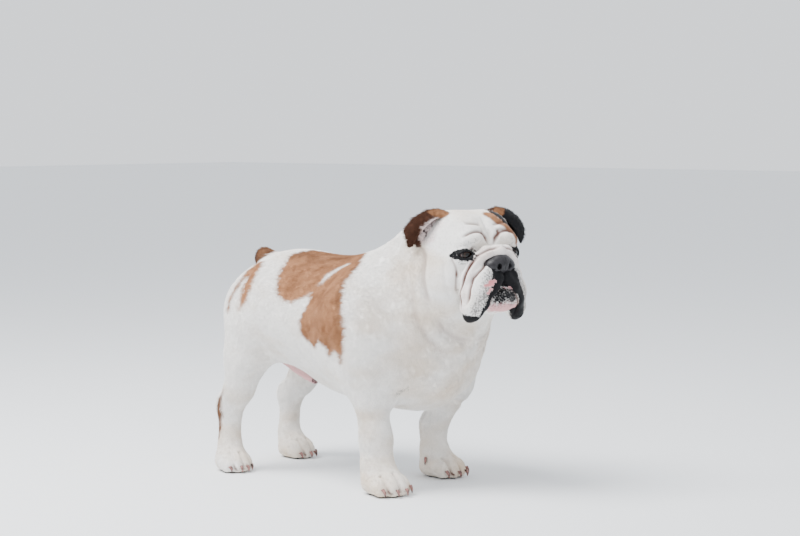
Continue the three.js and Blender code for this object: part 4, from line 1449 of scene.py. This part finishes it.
def makeClaw(node):
    setup = clawSetup
    rings, around = setup["rings"], setup["around"]
    points = trianglesOf(node)[0]
    middle = points.mean(0)
    spread = np.linalg.svd(points - middle, full_matrices=False)[2][0]
    paw = "hindpaw" if "hind" in node else "forepaw"
    home = middleOf(paw + ("_right" if "right" in node else "_left"))
    if (middle - home) @ spread < 0:
        spread = -spread
    reach = (points - middle) @ spread
    base = points[reach < reach.min() + 2].mean(0) - spread * setup["sunk"]
    tip = base + (points[reach.argmax()] - base) * setup["length"]
    spread = (tip - base) / np.linalg.norm(tip - base)
    up = np.array([0, 0, 1.0]) - spread * spread[2]
    up /= np.linalg.norm(up)
    across = np.cross(spread, up)
    shape, faces = [], [list(range(around)), list(range((rings - 1) * around, rings * around))[::-1]]
    for i in range(rings):
        t = i / (rings - 1)
        radius = setup["radius"] * (1 - t**1.9) ** 0.8 + setup["tipRadius"]
        centre = base + (tip - base) * t + up * setup["bend"] * math.sin(math.pi * t)
        for j in range(around):
            turn = 2 * math.pi * j / around
            shape.append(centre + radius * (setup["narrow"] * math.cos(turn) * across + math.sin(turn) * up))
            if i < rings - 1:
                k = (j + 1) % around
                faces.append([i * around + j, (i + 1) * around + j, (i + 1) * around + k, i * around + k])
    shape = np.array(shape)
    shape[:, 2] = np.maximum(shape[:, 2], setup["aboveFloor"])
    return meshObject(node.replace("claw_", "horn_"), shape, faces)


# Plain floor, backdrop and soft light.
studio = {
    "floor": (0.84, 0.86, 0.88, 1), "floorRoughness": 0.85, "floorSize": 40,
    "world": (0.93, 0.96, 1.0, 1), "worldStrength": 1.4,
    "lamp": 165, "lampSize": 1.6, "lampAt": (-0.5, -1.3, 2.5),
}


def makeStudio():
    bpy.ops.mesh.primitive_plane_add(size=studio["floorSize"], location=(0, 0, 0))
    floor = bpy.context.object
    floor.name = "studioFloor"
    paint = Nodes("floorPaint")
    paint.fix({"Base Color": studio["floor"], "Roughness": studio["floorRoughness"]})
    floor.data.materials.append(paint.material)
    world = bpy.data.worlds.new("softSky")
    bpy.context.scene.world = world
    world.use_nodes = True
    sky = world.node_tree.nodes["Background"]
    sky.inputs["Color"].default_value = studio["world"]
    sky.inputs["Strength"].default_value = studio["worldStrength"]
    lamp = bpy.data.lights.new("softOverhead", "AREA")
    lamp.energy = studio["lamp"]
    lamp.size = studio["lampSize"]
    light = placed("softOverhead", lamp)
    light.location = studio["lampAt"]
    light.rotation_euler = Vector(studio["lampAt"]).to_track_quat("Z", "Y").to_euler()


makeStudio()

skin.data.materials.append(coatMaterial)
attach(skin, "root")
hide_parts(*fleshNodes, *faceNodes)
for piece in makeCoat():
    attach(piece, "root")

for name, side in sides.items():
    eye = makeEye(name, side)
    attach(eye, "root")
    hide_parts("eye_" + name.lower())

nose = makeNose()
nose.data.materials.append(makeNoseMaterial())
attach(nose, "root")
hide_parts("nose")

hornMaterial = makeHornMaterial()
for node in sorted(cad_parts):
    if "claw" in node:
        claw = makeClaw(node)
        claw.data.materials.append(hornMaterial)
        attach(claw, "root")
        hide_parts(node)
print("eyes, nose and claws made")
